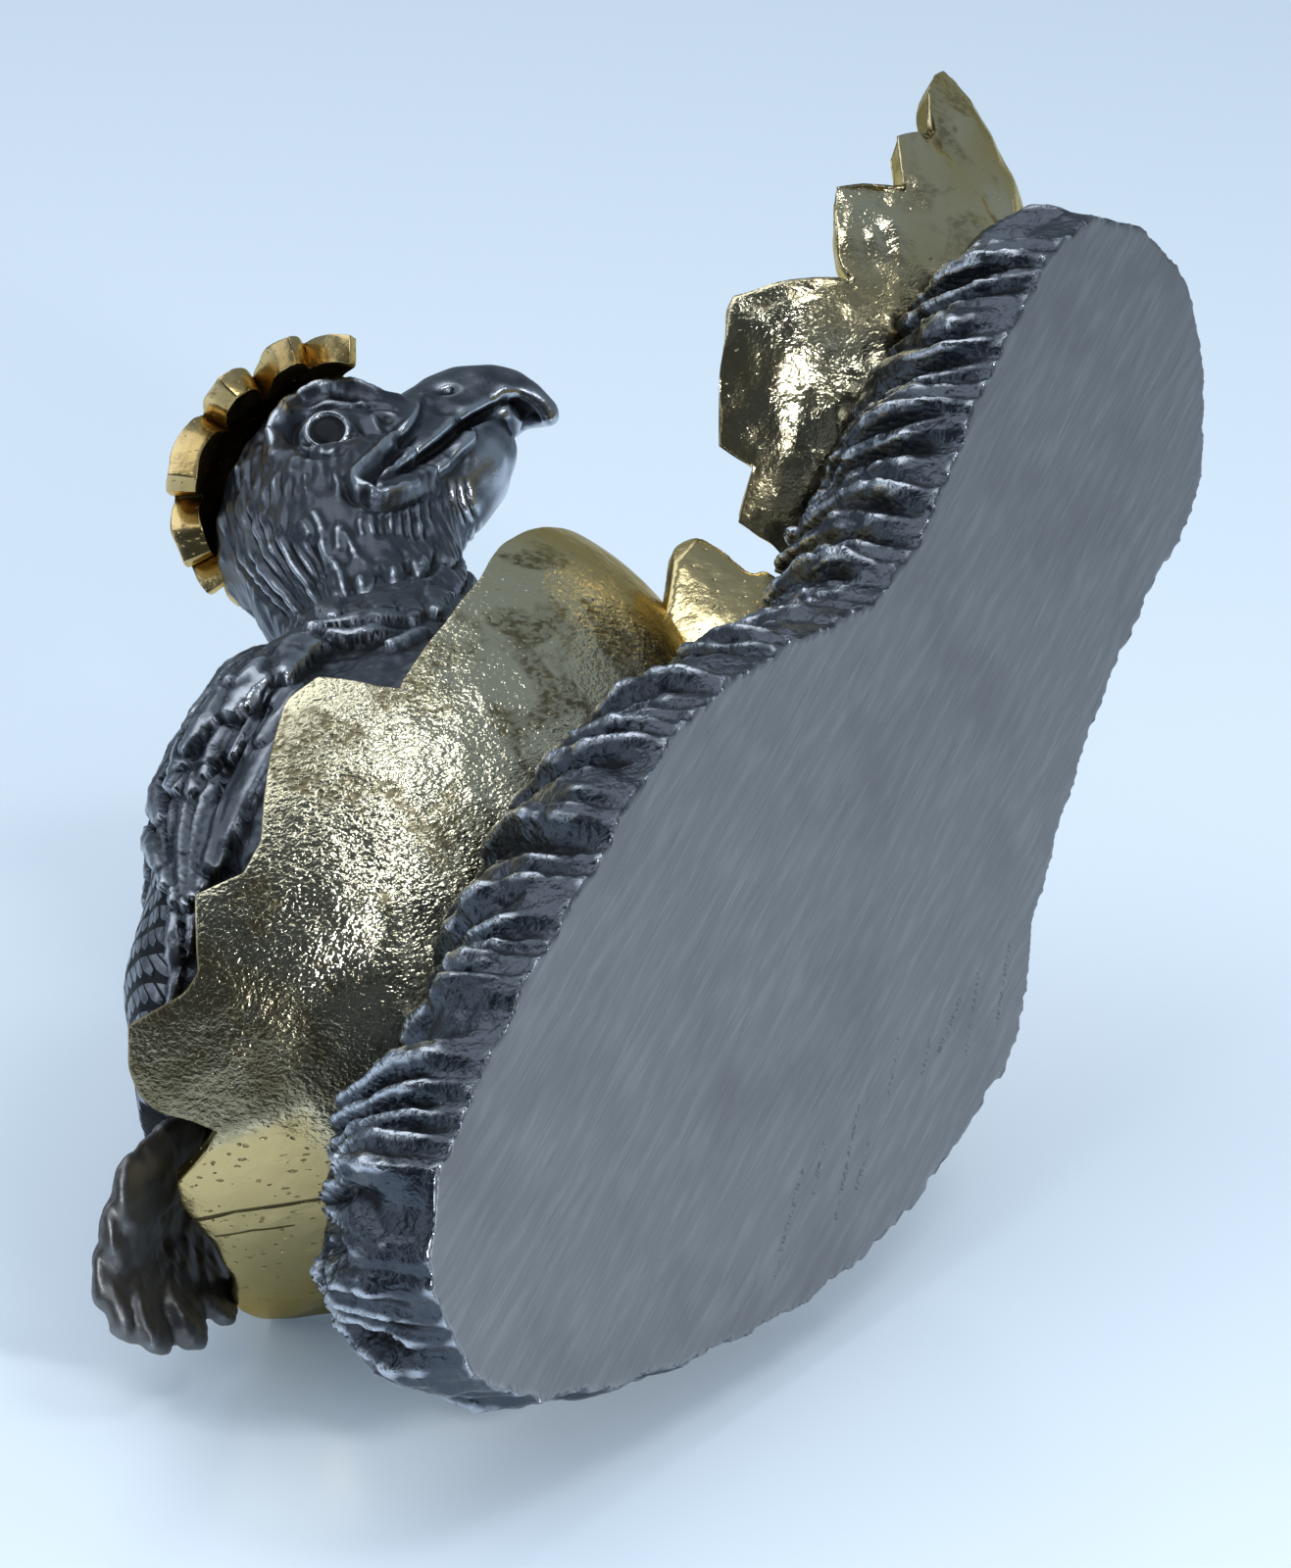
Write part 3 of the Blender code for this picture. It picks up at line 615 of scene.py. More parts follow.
def gilding(name, cracked=False, grain=1.0, pale=GOLD_PALE):
    """Pale gold plate: crinkled over the rounds, smooth with small dashes towards the broken edges."""
    finish = Finish(name, edge=GOLD_EDGE)
    where = finish.place()
    smooth = finish.kept("smooth")
    hollow_and_shade = finish.kept("hollow_and_shade")
    crumpled = finish.stretched(where, (0.3, 0.2, 0.5), (1.7, 1, 1))
    crinkle = finish.clouds(crumpled, 0.30, 2.0, 0.4)
    pebble = finish.clouds(crumpled, 0.50, 2.0, 0.5)
    fine = finish.clouds(where, 0.22, 1.0)
    swell = finish.clouds(where, 4.0, 2.0)
    dashes = finish.clouds(finish.stretched(where, (0.2, 0.5, 0.3), (2.6, 0.9, 0.9)), 0.42, 1.0)
    dashes = finish.step(dashes, 0.66, 0.78)
    rough_height = 0.8 * crinkle + 1.0 * pebble + 0.12 * fine
    smooth_height = 0.10 * crinkle + 0.25 * pebble - 0.7 * dashes
    height = grain * (rough_height + smooth * (smooth_height - rough_height)) + 2.0 * swell
    blots = finish.step(finish.clouds(where, 6.0, 3.0, 0.6), 0.50, 0.60) * (1 - smooth)
    pits = finish.step(pebble, 0.60, 0.38)
    # Darkened: tarnish in the dents, painted shade on the inner walls, blots, dashes and the cracks
    tarnish_and_shade = finish.step(hollow_and_shade + 0.45 * (finish.clouds(where, 3.2, 3.0) - 0.5), 0.22, 0.95)
    tarnish_and_shade = finish.math('MAXIMUM', tarnish_and_shade, blots * (0.25 + 0.60 * pits))
    tarnish_and_shade = finish.math('MAXIMUM', tarnish_and_shade, 0.45 * dashes * smooth)
    colour = finish.blend(smooth, GOLD, pale)
    if cracked:
        for path, width in ((CRACK, 0.20), (SECOND_CRACK, 0.10)):
            for start, end in zip(path, path[1:]):
                away = finish.line_distance(where, start, end)
                seam = 1 - finish.step(away, 0.35 * width * MM, width * MM)
                tarnish_and_shade = finish.math('MAXIMUM', tarnish_and_shade, seam)
                height = height - 3.0 * seam
    colour = finish.blend(tarnish_and_shade, colour, GOLD_TARNISH_AND_SHADE)
    roughness = 0.12 + 0.10 * smooth + 0.20 * tarnish_and_shade + 0.08 * (swell - 0.5)
    return finish.set(colour, roughness, 1.0, height, 0.11)


# Shells


def rim_turns(corners, widest):
    """The turns of the columns: each corner, and more between corners that are far apart."""
    turns = []
    for k, (a, _) in enumerate(corners):
        b = corners[(k + 1) % len(corners)][0] + (360 if k + 1 == len(corners) else 0)
        parts = max(1, math.ceil((b - a) / widest))
        turns += [a + (b - a) * i / parts for i in range(parts)]
    return turns


def rim_height(corners, turn):
    """Height of a broken edge at a turn, straight between its corners."""
    closed = [(corners[-1][0] - 360, corners[-1][1])] + corners + [(corners[0][0] + 360, corners[0][1])]
    for (a, low), (b, high) in zip(closed, closed[1:]):
        if a <= turn <= b:
            return low + (high - low) * (turn - a) / (b - a)
    return closed[0][1]


def bowl_wall(name, turns, heights, radii, rows):
    """One wall of a bowl: the lower half of a ball, drawn up to the broken edge."""
    start_fresh()
    bpy.ops.mesh.primitive_uv_sphere_add(segments=len(turns), ring_count=2 * rows, radius=1,
                                         location=(0, 0, 0))
    thing = added(name)
    with editing(thing):
        bpy.ops.mesh.bisect(plane_co=(0, 0, 0), plane_no=(0, 0, 1), clear_outer=True, threshold=1e-4)
    spots = spots_of(thing)
    column = np.round((np.arctan2(spots[:, 1], spots[:, 0]) % (2 * math.pi)) / (2 * math.pi) * len(turns))
    column = column.astype(int) % len(turns)
    share = -np.arcsin(np.clip(spots[:, 2], -1, 1)) / (math.pi / 2)
    turn = np.radians(np.array(turns))[column]
    top = np.arcsin(np.clip(np.array(heights)[column] / radii[2], -0.98, 0.98))
    lift = top + (-math.pi / 2 - top) * share ** 0.92
    made = np.stack((np.cos(lift) * np.cos(turn), np.cos(lift) * np.sin(turn), np.sin(lift)), 1)
    move_to(thing, made * np.array(radii))
    return thing


def broken_bowl(name, corners, radii, wall, widest, rows, bevel):
    """A bowl of broken shell: outer and inner walls, joined over a broken edge that leans outward."""
    turns = rim_turns(corners, widest)
    heights = np.array([rim_height(corners, turn) for turn in turns]) * radii[2]
    outer = bowl_wall(name, turns, heights, radii, rows)
    inner_radii = [radius - wall for radius in radii]
    inner = bowl_wall(name + " inside", turns, heights + RIM_RAISE * wall, inner_radii, rows)
    with editing(inner):
        bpy.ops.mesh.flip_normals()
    bowl = joined([outer, inner], name)
    with editing(bowl):
        bpy.ops.mesh.select_all(action='DESELECT')
        bpy.ops.mesh.select_mode(type='EDGE')
        bpy.ops.mesh.select_non_manifold(extend=False, use_wire=False, use_multi_face=False)
        bpy.ops.mesh.bridge_edge_loops()
        face_outward()
        bpy.ops.mesh.select_all(action='DESELECT')
        bpy.ops.mesh.edges_select_sharp(sharpness=SHARP_EDGE)
        bpy.ops.mesh.bevel(offset=bevel, offset_type='OFFSET', segments=2, profile=0.6, affect='EDGES',
                           clamp_overlap=True)
    finish_with(bowl, 'SUBSURF', levels=1, render_levels=1)
    return bowl


def wall_share(spots, radii, wall):
    """How near each point is to the outer wall, from 0 inside to 1."""
    reach = np.linalg.norm(spots / np.array(radii), axis=1)
    return 1 - (1 - reach) * min(radii) / wall


def hammered(spots, outward, dents):
    """The points moved in and out along their normals by dents: size, depth and seed."""
    for size, depth, seed in dents:
        spots = spots + outward * (ripple(spots, size, seed) * depth)[:, None]
    return spots


def set_in_place(thing, middle, axes, finish):
    """From the piece's own axes in millimetres to its place in the part, in metres."""
    turn = axes.to_4x4()
    thing.data.transform(Matrix.Translation(Vector(middle) * MM) @ turn @ Matrix.Scale(MM, 4))
    dress(thing, finish)


def make_shell(name, middle, radii, axes, corners, wall, widest, rows, finish, smooth_zone, dents, bevel):
    bowl = broken_bowl(name, corners, radii, wall, widest, rows, bevel)
    spots = spots_of(bowl)
    share = wall_share(spots, radii, wall)
    edges = edges_of(bowl)
    outer = rise(share, 0.55, 0.85)
    smooth = np.clip(smooth_zone(spots) + (1 - outer), 0, 1)
    rim = rise(share, 0.06, 0.12) * (1 - rise(share, 0.88, 0.94))
    smooth = np.maximum(smooth, 0.8 * rim)
    smooth = relaxed(smooth[:, None], edges, 2)[:, 0]
    outward = outward_of(bowl)
    moved = hammered(spots, outward, dents)
    moved = spots + (moved - spots) * (1 - 0.6 * smooth)[:, None]
    level = ((moved - relaxed(moved, edges, 8)) * outward).sum(1)
    move_to(bowl, moved)
    keep_value(bowl, "smooth", smooth)
    # Dark value: tarnish in the dents, plus painted shade over the whole inner wall
    keep_value(bowl, "hollow_and_shade", np.clip(-level / 0.12, 0, 1) + 0.35 * (1 - outer))
    set_in_place(bowl, middle, axes, finish)
    return bowl


# A slight bulge by the rock that turns the metal towards the light, in millimetres
BULGE_SPOT = (-35.4, -8.6, 18.8)
BULGE_RADIUS = 7.5
BULGE_HEIGHT = 1.7


def swollen(thing, spot, radius, height):
    """Raises the metal round a spot in a smooth bulge, in millimetres."""
    spots = spots_of(thing)
    away = np.linalg.norm(spots / MM - np.array(spot), axis=1)
    rising = height * MM * np.exp(-(away / radius) ** 2)
    move_to(thing, spots + outward_of(thing) * rising[:, None])


def main_smooth_zone(spots):
    """Smooth towards the beak end and on the facet at the tail end."""
    ahead = rise(spots[:, 0], 18, 27)
    tail = rise(-spots[:, 0], 29.5, 31.5) * rise(spots[:, 1], -5.2, -3.4)
    return np.maximum(ahead, tail)


def front_smooth_zone(spots):
    """Smooth and crinkled in turns."""
    return 0.45 + 0.45 * ripple(spots * MM, 7 * MM, 3)


def cap_smooth_zone(spots):
    return np.full(len(spots), 0.75)


def darken_tail_end(main):
    """Darkens the main bowl's metal before its smooth facet at the tail end."""
    spots = spots_of(main) / MM - np.array(MAIN_MIDDLE)
    keep_more(main, "hollow_and_shade", 0.70 * rise(-spots[:, 0], 23.5, 28) * (1 - main_smooth_zone(spots)))


# The shard's outer face in pixels, and the plane that it lies in, in millimetres
SHARD_OUTLINE = [
    (690, 556), (694, 549), (703, 546), (720, 549), (737, 560), (752, 572), (766, 583), (777, 581),
    (788, 579), (800, 588), (798, 604), (800, 640), (770, 680), (730, 690), (686, 665), (684, 630),
    (687, 590),
]
SHARD_SPOT = Vector((23.6, -13.9, 25.2))
SHARD_FACING = Vector((0.05, -0.74, -0.67)).normalized()
SHARD_GRAIN = 0.28


def make_shard(finish):
    """The small shard between the bowls: its face is drawn out to the wall's thickness and rounded."""
    start_fresh()
    corners = smooth_pixels(SHARD_OUTLINE)
    bpy.ops.mesh.primitive_circle_add(vertices=len(corners), radius=1, fill_type='NGON', location=(0, 0, 0))
    shard = added("gilded_shard")
    face = []
    for pixel in corners:
        line = sight_line(*pixel)
        away = (SHARD_SPOT * MM - CAMERA_PLACE).dot(SHARD_FACING) / line.dot(SHARD_FACING)
        face.append(list(CAMERA_PLACE + line * away))
    move_to(shard, face)
    with editing(shard):
        drawn_out(-SHARD_FACING * WALL * MM)
        face_outward()
    finish_with(shard, 'REMESH', mode='VOXEL', voxel_size=SHARD_GRAIN * MM)
    spots = relaxed(spots_of(shard), edges_of(shard), 3)
    sideways = np.array(SHARD_FACING.cross(Vector((0, 0, 1))).normalized())
    across = (spots - np.array(SHARD_SPOT) * MM) @ sideways
    spots += np.array(SHARD_FACING) * (-18 * across * across)[:, None]
    solid = rows(frame["nodes"]["shell_shard"].matrix_world @ vertex.co
                 for vertex in frame["nodes"]["shell_shard"].data.vertices)
    move_to(shard, np.clip(spots, solid.min(0), solid.max(0)))
    keep_value(shard, "smooth", np.full(len(spots), 0.85))
    keep_value(shard, "hollow_and_shade", np.zeros(len(spots)))
    dress(shard, finish)
    return shard


# Rock

# Its furrows' spacing and depth, and the grain of its mesh, in millimetres
RIDGE_PITCH = 3.0
RIDGE_DEPTH = 1.9
ROCK_GRAIN = 0.45
ROCK_HEART = Vector((0, 0, 0.009))
# Where the rock's rim is lower against the main bowl: pixel, radius and depth in millimetres
ROCK_DIPS = [((400, 1015), 9.0, 3.4), ((360, 1110), 6.0, 1.6), ((320, 1240), 7.0, 2.8)]


def cad_copy(node, name):
    """A merged copy of a solid of the part, to carve."""
    source = frame["nodes"][node]
    thing = source.copy()
    thing.data = source.data.copy()
    thing.parent = None
    bpy.context.scene.collection.objects.link(thing)
    thing.name = name
    thing.data.name = name
    for key in list(thing.keys()):
        if key.startswith("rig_"):
            del thing[key]
    with editing(thing):
        bpy.ops.mesh.remove_doubles(threshold=1e-6)
    return thing


def outline_of(spots):
    """The underside's outline, in order."""
    foot = spots[spots[:, 2] < 0.02 * MM]
    heart = np.array((0.005, -0.004, 0))
    turn = np.arctan2(foot[:, 1] - heart[1], foot[:, 0] - heart[0])
    count = 360
    bins = ((turn + math.pi) / (2 * math.pi) * count).astype(int) % count
    reach = np.linalg.norm(foot[:, :2] - heart[:2], axis=1)
    longest = np.zeros(count)
    np.maximum.at(longest, bins, reach)
    for k in range(count):
        if longest[k] == 0:
            longest[k] = longest[k - 1]
    angles = (np.arange(count) + 0.5) / count * 2 * math.pi - math.pi
    ring = np.stack((heart[0] + longest * np.cos(angles), heart[1] + longest * np.sin(angles)), 1)
    return 0.5 * ring + 0.25 * np.roll(ring, 1, 0) + 0.25 * np.roll(ring, -1, 0)


def run_along(ring, spots):
    """For each point, the length run along the outline to the spot nearest it, and the way there."""
    closed = np.vstack((ring, ring[:1]))
    length = np.linalg.norm(np.diff(closed, axis=0), axis=1).sum()
    away, along = near_path(spots[:, :2], closed)
    return along * length, away


def rock_relief(start, height, run, inward):
    """Furrows up the sides, craggy metal on top, in millimetres; also what waves the foot's edge."""
    upright = start * np.array((1, 1, 0.22))
    wander = ripple(upright, 11 * MM, 1) * 1.1 + ripple(start * np.array((1, 1, 0.45)), 5 * MM, 2) * 0.22
    lean = 0.03 * height * np.sin(run / MM / 17)
    phase = run / MM / RIDGE_PITCH + wander + lean
    beat = np.abs(np.sin(math.pi * phase)) ** 0.8
    second = np.abs(np.sin(math.pi * (phase * 2.3 + 0.5 * ripple(upright, 5 * MM, 5)))) ** 0.7
    knobs = 0.5 + 0.5 * ripple(start, 3.2 * MM, 7)
    grows = rise(height, 0.3, 6.0)
    relief = RIDGE_DEPTH * (beat - 0.74) * (0.22 + 0.78 * grows) * (0.85 + 0.40 * ripple(start, 8 * MM, 15))
    relief += 0.38 * (second - 0.7) * (0.4 + 0.6 * grows)
    relief += 0.55 * (knobs - 0.5) * rise(height, 8, 13)
    relief += 0.30 * ripple(start, 2.2 * MM, 9) * grows
    craggy = 0.8 * ripple(start, 5 * MM, 11, 3) + 0.35 * (np.abs(ripple(start, 3 * MM, 13)) - 0.4)
    top = rise(inward / MM, 5.5, 9.0)
    relief = relief * (1 - top) + craggy * top
    relief += 0.22 * (np.abs(ripple(start, 1.5 * MM, 17)) - 0.35) * grows
    edge_wave = 0.35 * (beat - 0.7) * (1 - rise(height, 0.5, 3.0)) * (1 - rise(inward / MM, 0.4, 1.6))
    return relief * rise(height, 0.05, 0.9), edge_wave


def make_rock(finish):
    rock = cad_copy("rock_base", "carved_rock")
    finish_with(rock, 'REMESH', mode='VOXEL', voxel_size=ROCK_GRAIN * MM)
    start = spots_of(rock)
    edges = edges_of(rock)
    run, inward = run_along(outline_of(start), start)
    height = start[:, 2] / MM
    side = rise(height, 0.3, 1.5)
    spots = start + (relaxed(start, edges, 30) - start) * side[:, None]
    move_to(rock, spots)
    outward = broad_outward(rock, edges)
    relief, edge_wave = rock_relief(start, height, run, inward)
    moved = spots + outward * ((relief * side)[:, None] * MM)
    moved += outward * np.array((1, 1, 0)) * edge_wave[:, None] * MM
    surface = surface_of(rock)
    for pixel, radius, lower in ROCK_DIPS:
        away = np.linalg.norm(moved - np.array(landing(surface, pixel, ROCK_HEART)), axis=1) / MM
        moved[:, 2] -= lower * MM * (1 - rise(away / radius, 0.2, 1.0)) * rise(height, 3, 12)
    moved = clear_of_shells(moved)
    moved[:, 2] = np.maximum(moved[:, 2], 0)
    moved[height < 0.05, 2] = 0
    move_to(rock, moved)
    keep_wear(rock, 16, 0.34)
    underside = (height < 0.12) & (outward_of(rock)[:, 2] < -0.8)
    keep_value(rock, "underside", underside.astype(float))
    dress(rock, finish)
    drop_crumbs(rock)
    return rock


# The bowls that the rock carries, and how far out rock may stand in them, where 1 is the outer face
SHELLS = [(MAIN_MIDDLE, MAIN_RADII, 0.0), (FRONT_MIDDLE, FRONT_RADII, FRONT_TURN)]
ROCK_REACH = 0.985


def shell_reach(spots, middle, radii, turn):
    """How far out each point is, where 1 is the bowl's outer wall."""
    local = spots / MM - np.array(middle)
    cosine, sine = math.cos(turn), math.sin(turn)
    x = local[:, 0] * cosine + local[:, 1] * sine
    y = -local[:, 0] * sine + local[:, 1] * cosine
    return np.sqrt((x / radii[0]) ** 2 + (y / radii[1]) ** 2 + (local[:, 2] / radii[2]) ** 2)


def clear_of_shells(moved):
    """Keeps rock from standing through a bowl's wall: it is held at the wall's outer face."""
    for middle, radii, turn in SHELLS:
        reach = shell_reach(moved, middle, radii, turn)
        inside = reach < ROCK_REACH
        pull = (ROCK_REACH / np.maximum(reach, 1e-6))[:, None]
        heart = np.array(middle) * MM
        moved = np.where(inside[:, None], heart + (moved - heart) * pull, moved)
    return moved


# Eagle


def ringed_tube(name, sections, sides):
    """A solid through oval sections: middle, across, upward, and how deep its lower half is."""
    start_fresh()
    bpy.ops.mesh.primitive_circle_add(vertices=sides, radius=1, fill_type='NGON', location=(0, 0, 0))
    thing = added(name)
    with editing(thing):
        for _ in sections[1:]:
            drawn_out((0, 0, 1))
    spots = spots_of(thing)
    made = np.empty_like(spots)
    for k, (x, y, z) in enumerate(spots):
        middle, across, upward, below = sections[int(round(z))]
        made[k] = middle + across * x + upward * (y if y > 0 else y * below)
    move_to(thing, made)
    with editing(thing):
        face_outward()
    return thing


def ball(name, middle, radii):
    start_fresh()
    bpy.ops.mesh.primitive_uv_sphere_add(segments=40, ring_count=24, radius=1, location=middle, scale=radii)
    thing = added(name)
    bpy.ops.object.transform_apply(location=True, rotation=True, scale=True)
    return thing


def body_sections():
    """Middle, across, upward and lower half of each of the body's ovals."""
    spots = [Vector(middle) + BODY_START for middle, _, _ in BODY]
    sections = []
    for k, (spot, station) in enumerate(zip(spots, BODY)):
        ahead = (spots[min(k + 1, len(spots) - 1)] - spots[max(k - 1, 0)]).normalized()
        across = Vector((0, 0, 1)).cross(ahead).normalized()
        upward = ahead.cross(across)
        sections.append((spot, across * station[1], upward * station[2], 1.0))
    return sections


def body_spine():
    """The middles of the body's ovals: their x, y and z in millimetres."""
    return rows(section[0] for section in body_sections()).T


def on_body(x, turn):
    """A spot on the chick's right side: turn is 0 degrees at the flank and 90 on the back."""
    sections = body_sections()
    x = max(sections[0][0].x, min(sections[-1][0].x, x))
    k = max(i for i in range(len(sections) - 1) if sections[i][0].x <= x or i == 0)
    low, high = sections[k], sections[k + 1]
    t = (x - low[0].x) / (high[0].x - low[0].x)
    middle = low[0].lerp(high[0], t)
    across = low[1].lerp(high[1], t)
    upward = low[2].lerp(high[2], t)
    turn = math.radians(turn)
    return middle - across * math.cos(turn) + upward * math.sin(turn)


BODY_GRAIN = 0.34
BODY_HEART = Vector((-0.012, -0.012, 0.048))


def make_body():
    """Body and breast in one, ready to carve."""
    sections = body_sections()[:-3]
    middle, across, upward, below = sections[-1]
    sections[-1] = (middle, across * 0.80, upward * 0.84, below)
    middle, across, upward, below = sections[-2]
    sections[-2] = (middle, across * 0.95, upward, below * 0.92)
    loft = ringed_tube("body", sections, 32)
    breast = ball("breast", BREAST_MIDDLE, BREAST_RADII)
    body = joined([loft, breast], "eagle_body")
    finish_with(body, 'REMESH', mode='VOXEL', voxel_size=BODY_GRAIN)
    move_to(body, relaxed(spots_of(body), edges_of(body), 20))
    body.data.transform(Matrix.Scale(MM, 4))
    surface = surface_of(body)
    spots = spots_of(body)
    path = rows(landing(surface, pixel, BODY_HEART) for pixel, _, _ in WING_SWELL)
    away, along = near_path(folded_about_body(spots), path)
    steps = np.linalg.norm(np.diff(path, axis=0), axis=1)
    at = np.concatenate(([0], np.cumsum(steps))) / steps.sum()
    radius = np.interp(along, at, [radius for _, radius, _ in WING_SWELL]) * MM
    height = np.interp(along, at, [height for _, _, height in WING_SWELL])
    swell = height * (1 - rise(away / radius, 0.35, 1.15))
    move_to(body, spots + outward_of(body) * (swell * MM)[:, None])
    return body


def body_turns(spots):
    """Each point's place along the body, and its turn up from the flank, 90 degrees on the back."""
    xs, ys, zs = body_spine()
    x = spots[:, 0] / MM
    y = spots[:, 1] / MM - np.interp(x, xs, ys)
    z = spots[:, 2] / MM - np.interp(x, xs, zs)
    return x, y, z, np.degrees(np.arctan2(z, np.abs(y)))


def feather_master():
    """One tail feather's blank: a flat slab, which lay_feather draws out to a long leaf with a rounded tip,
    crowned over its shaft.
    """
    start_fresh()
    bpy.ops.mesh.primitive_grid_add(x_subdivisions=18, y_subdivisions=8, size=2, location=(0, 0, 0))
    feather = added("feather")
    with editing(feather):
        drawn_out((0, 0, 1))
        face_outward()
    return feather


def lay_feather(master, name, route, normal, half_width, thick, seed, broad_tip):
    """A copy of the feather, laid along a route with its upper face along the normal."""
    feather = master.copy()
    feather.data = master.data.copy()
    feather.name = name
    bpy.context.scene.collection.objects.link(feather)
    local = spots_of(feather)
    u = (local[:, 0] + 1) / 2
    v = local[:, 1]
    top = local[:, 2] > 0.5
    path = rows(route)
    stations = np.linspace(0, 1, len(path))
    along = np.gradient(path, axis=0)
    along /= np.linalg.norm(along, axis=1)[:, None]
    across = np.cross(np.array(normal), along)
    across /= np.linalg.norm(across, axis=1)[:, None]
    ups = np.cross(along, across)

    def at(values):
        return np.stack([np.interp(u, stations, values[:, c]) for c in range(3)], 1)

    tip = np.sqrt(np.clip(1 - np.clip((u - broad_tip) / (1 - broad_tip + 1e-6), 0, 1) ** 2, 0, 1))
    shape = (0.55 + 0.45 * np.clip(u / 0.35, 0, 1)) * np.maximum(tip, 0.04)
    length = np.linalg.norm(np.diff(path, axis=0), axis=1).sum()
    wobble = 0.15 * np.sin(u * length / 3.4 + seed * 2.1) * np.clip(u * 2, 0, 1)
    crown = np.sqrt(np.clip(1 - 0.96 * v * v, 0, 1))
    shaft = np.exp(-(v / 0.14) ** 2) * 0.22
    ripples = 0.12 * np.sin(v * 5.5 + u * length * 0.5 + seed) * (1 - v * v)
    upper = thick * (crown * 0.85 + 0.15 + shaft * 0.5 + ripples) * (0.75 + 0.25 * tip)
    waves = 0.18 * np.cos(v * 9.0 + seed) * (1 - v * v) + 0.12 * np.sin(u * length + seed)
    lower = thick * (0.45 * crown + waves)
    lift = np.where(top, upper * (0.3 + 0.7 * np.clip(u / 0.12, 0, 1)), -lower)
    spots = at(path) + at(across) * (v * half_width * shape + wobble)[:, None] + at(ups) * lift[:, None]
    move_to(feather, spots * MM)
    return feather


# The wing that faces the camera swells from the body along this line: pixel, radius and height in mm
WING_SWELL = [
    ((296, 668), 3.4, 0.7), ((268, 692), 5.0, 0.9), ((243, 722), 6.0, 1.6), ((208, 768), 6.0, 1.6),
    ((184, 812), 5.4, 0.8), ((180, 860), 4.2, 0.6), ((182, 900), 3.0, 0.5), ((180, 960), 2.2, 0.3),
]
# Its feathers, in pixels: the line from root to tip, then half width, thickness and lift in millimetres.
# Where two cross, the higher lies over the lower.
WING_FEATHERS = [
    ([(190, 900), (190, 935), (188, 965), (185, 992)], 0.62, 0.5, 0.1),
    ([(180, 895), (179, 935), (177, 965), (179, 1000), (171, 1037)], 0.62, 0.5, 0.15),
    ([(199, 895), (197, 935), (194, 970)], 0.6, 0.4, 0.0),
    ([(184, 790), (181, 825), (182, 852), (181, 882), (179, 925)], 0.68, 0.7, 0.2),
    ([(206, 765), (197, 800), (192, 845), (190, 882), (190, 930)], 0.66, 0.7, 0.2),
    ([(241, 742), (229, 772), (219, 803), (211, 835), (205, 872), (199, 920)], 0.85, 0.7, 0.25),
    ([(232, 800), (222, 845), (215, 880), (207, 912)], 0.9, 0.6, 0.2),
    ([(291, 720), (276, 757), (261, 790), (244, 825), (231, 857), (220, 887)], 1.75, 0.8, 0.4),
    ([(304, 692), (294, 716), (284, 740), (273, 764)], 1.35, 0.7, 0.7),
    ([(266, 722), (255, 742), (247, 757), (241, 776)], 0.95, 0.7, 0.5),
    ([(272, 733), (265, 756), (257, 780)], 0.7, 0.6, 0.5),
    ([(176, 795), (171, 832), (167, 858), (169, 882), (172, 908)], 0.85, 0.6, 0.3),
    ([(163, 788), (157, 819), (156, 840), (160, 862), (168, 888)], 0.95, 0.7, 0.4),
    ([(187, 756), (176, 779), (169, 803), (168, 825), (171, 842)], 1.05, 0.7, 0.6),
    ([(232, 738), (218, 765), (207, 790), (200, 815)], 0.95, 0.7, 0.45),
    ([(248, 722), (233, 748), (222, 775), (213, 800)], 0.9, 0.7, 0.6),
    ([(214, 742), (204, 765), (195, 790), (188, 812)], 0.85, 0.7, 0.5),
    ([(222, 712), (208, 738), (198, 762), (192, 784), (184, 806)], 1.25, 0.8, 0.6),
    ([(264, 670), (247, 688), (234, 706), (219, 726), (204, 748)], 1.15, 0.7, 0.5),
    ([(254, 686), (241, 709), (226, 732), (213, 750), (202, 768)], 1.3, 0.8, 0.8),
    ([(278, 676), (264, 700), (252, 719), (241, 736)], 1.35, 0.8, 0.9),
    ([(324, 652), (300, 662), (283, 676), (266, 692), (250, 708)], 1.0, 0.7, 0.5),
    ([(312, 650), (292, 660), (274, 673), (258, 688), (243, 704)], 1.0, 0.6, 0.2),
    ([(352, 658), (330, 660), (311, 669), (297, 684), (289, 700)], 1.35, 0.8, 0.9),
    ([(412, 646), (386, 650), (360, 657), (336, 657)], 0.95, 0.7, 0.6),
    ([(424, 634), (396, 636), (369, 642), (342, 648), (318, 651)], 0.95, 0.7, 0.7),
    ([(440, 645), (420, 655), (398, 664)], 0.7, 0.5, 0.4),
]
# Short leaves at the foot of the neck
NECK_LEAVES = [
    ([(334, 612), (342, 636)], 1.2, 0.5, 0.5), ([(362, 618), (366, 640)], 1.0, 0.5, 0.3),
    ([(388, 608), (392, 636)], 1.5, 0.5, 0.5), ([(420, 612), (420, 636)], 1.1, 0.5, 0.3),
    ([(446, 602), (444, 630)], 1.4, 0.5, 0.5), ([(474, 600), (468, 622)], 1.2, 0.5, 0.3),
]
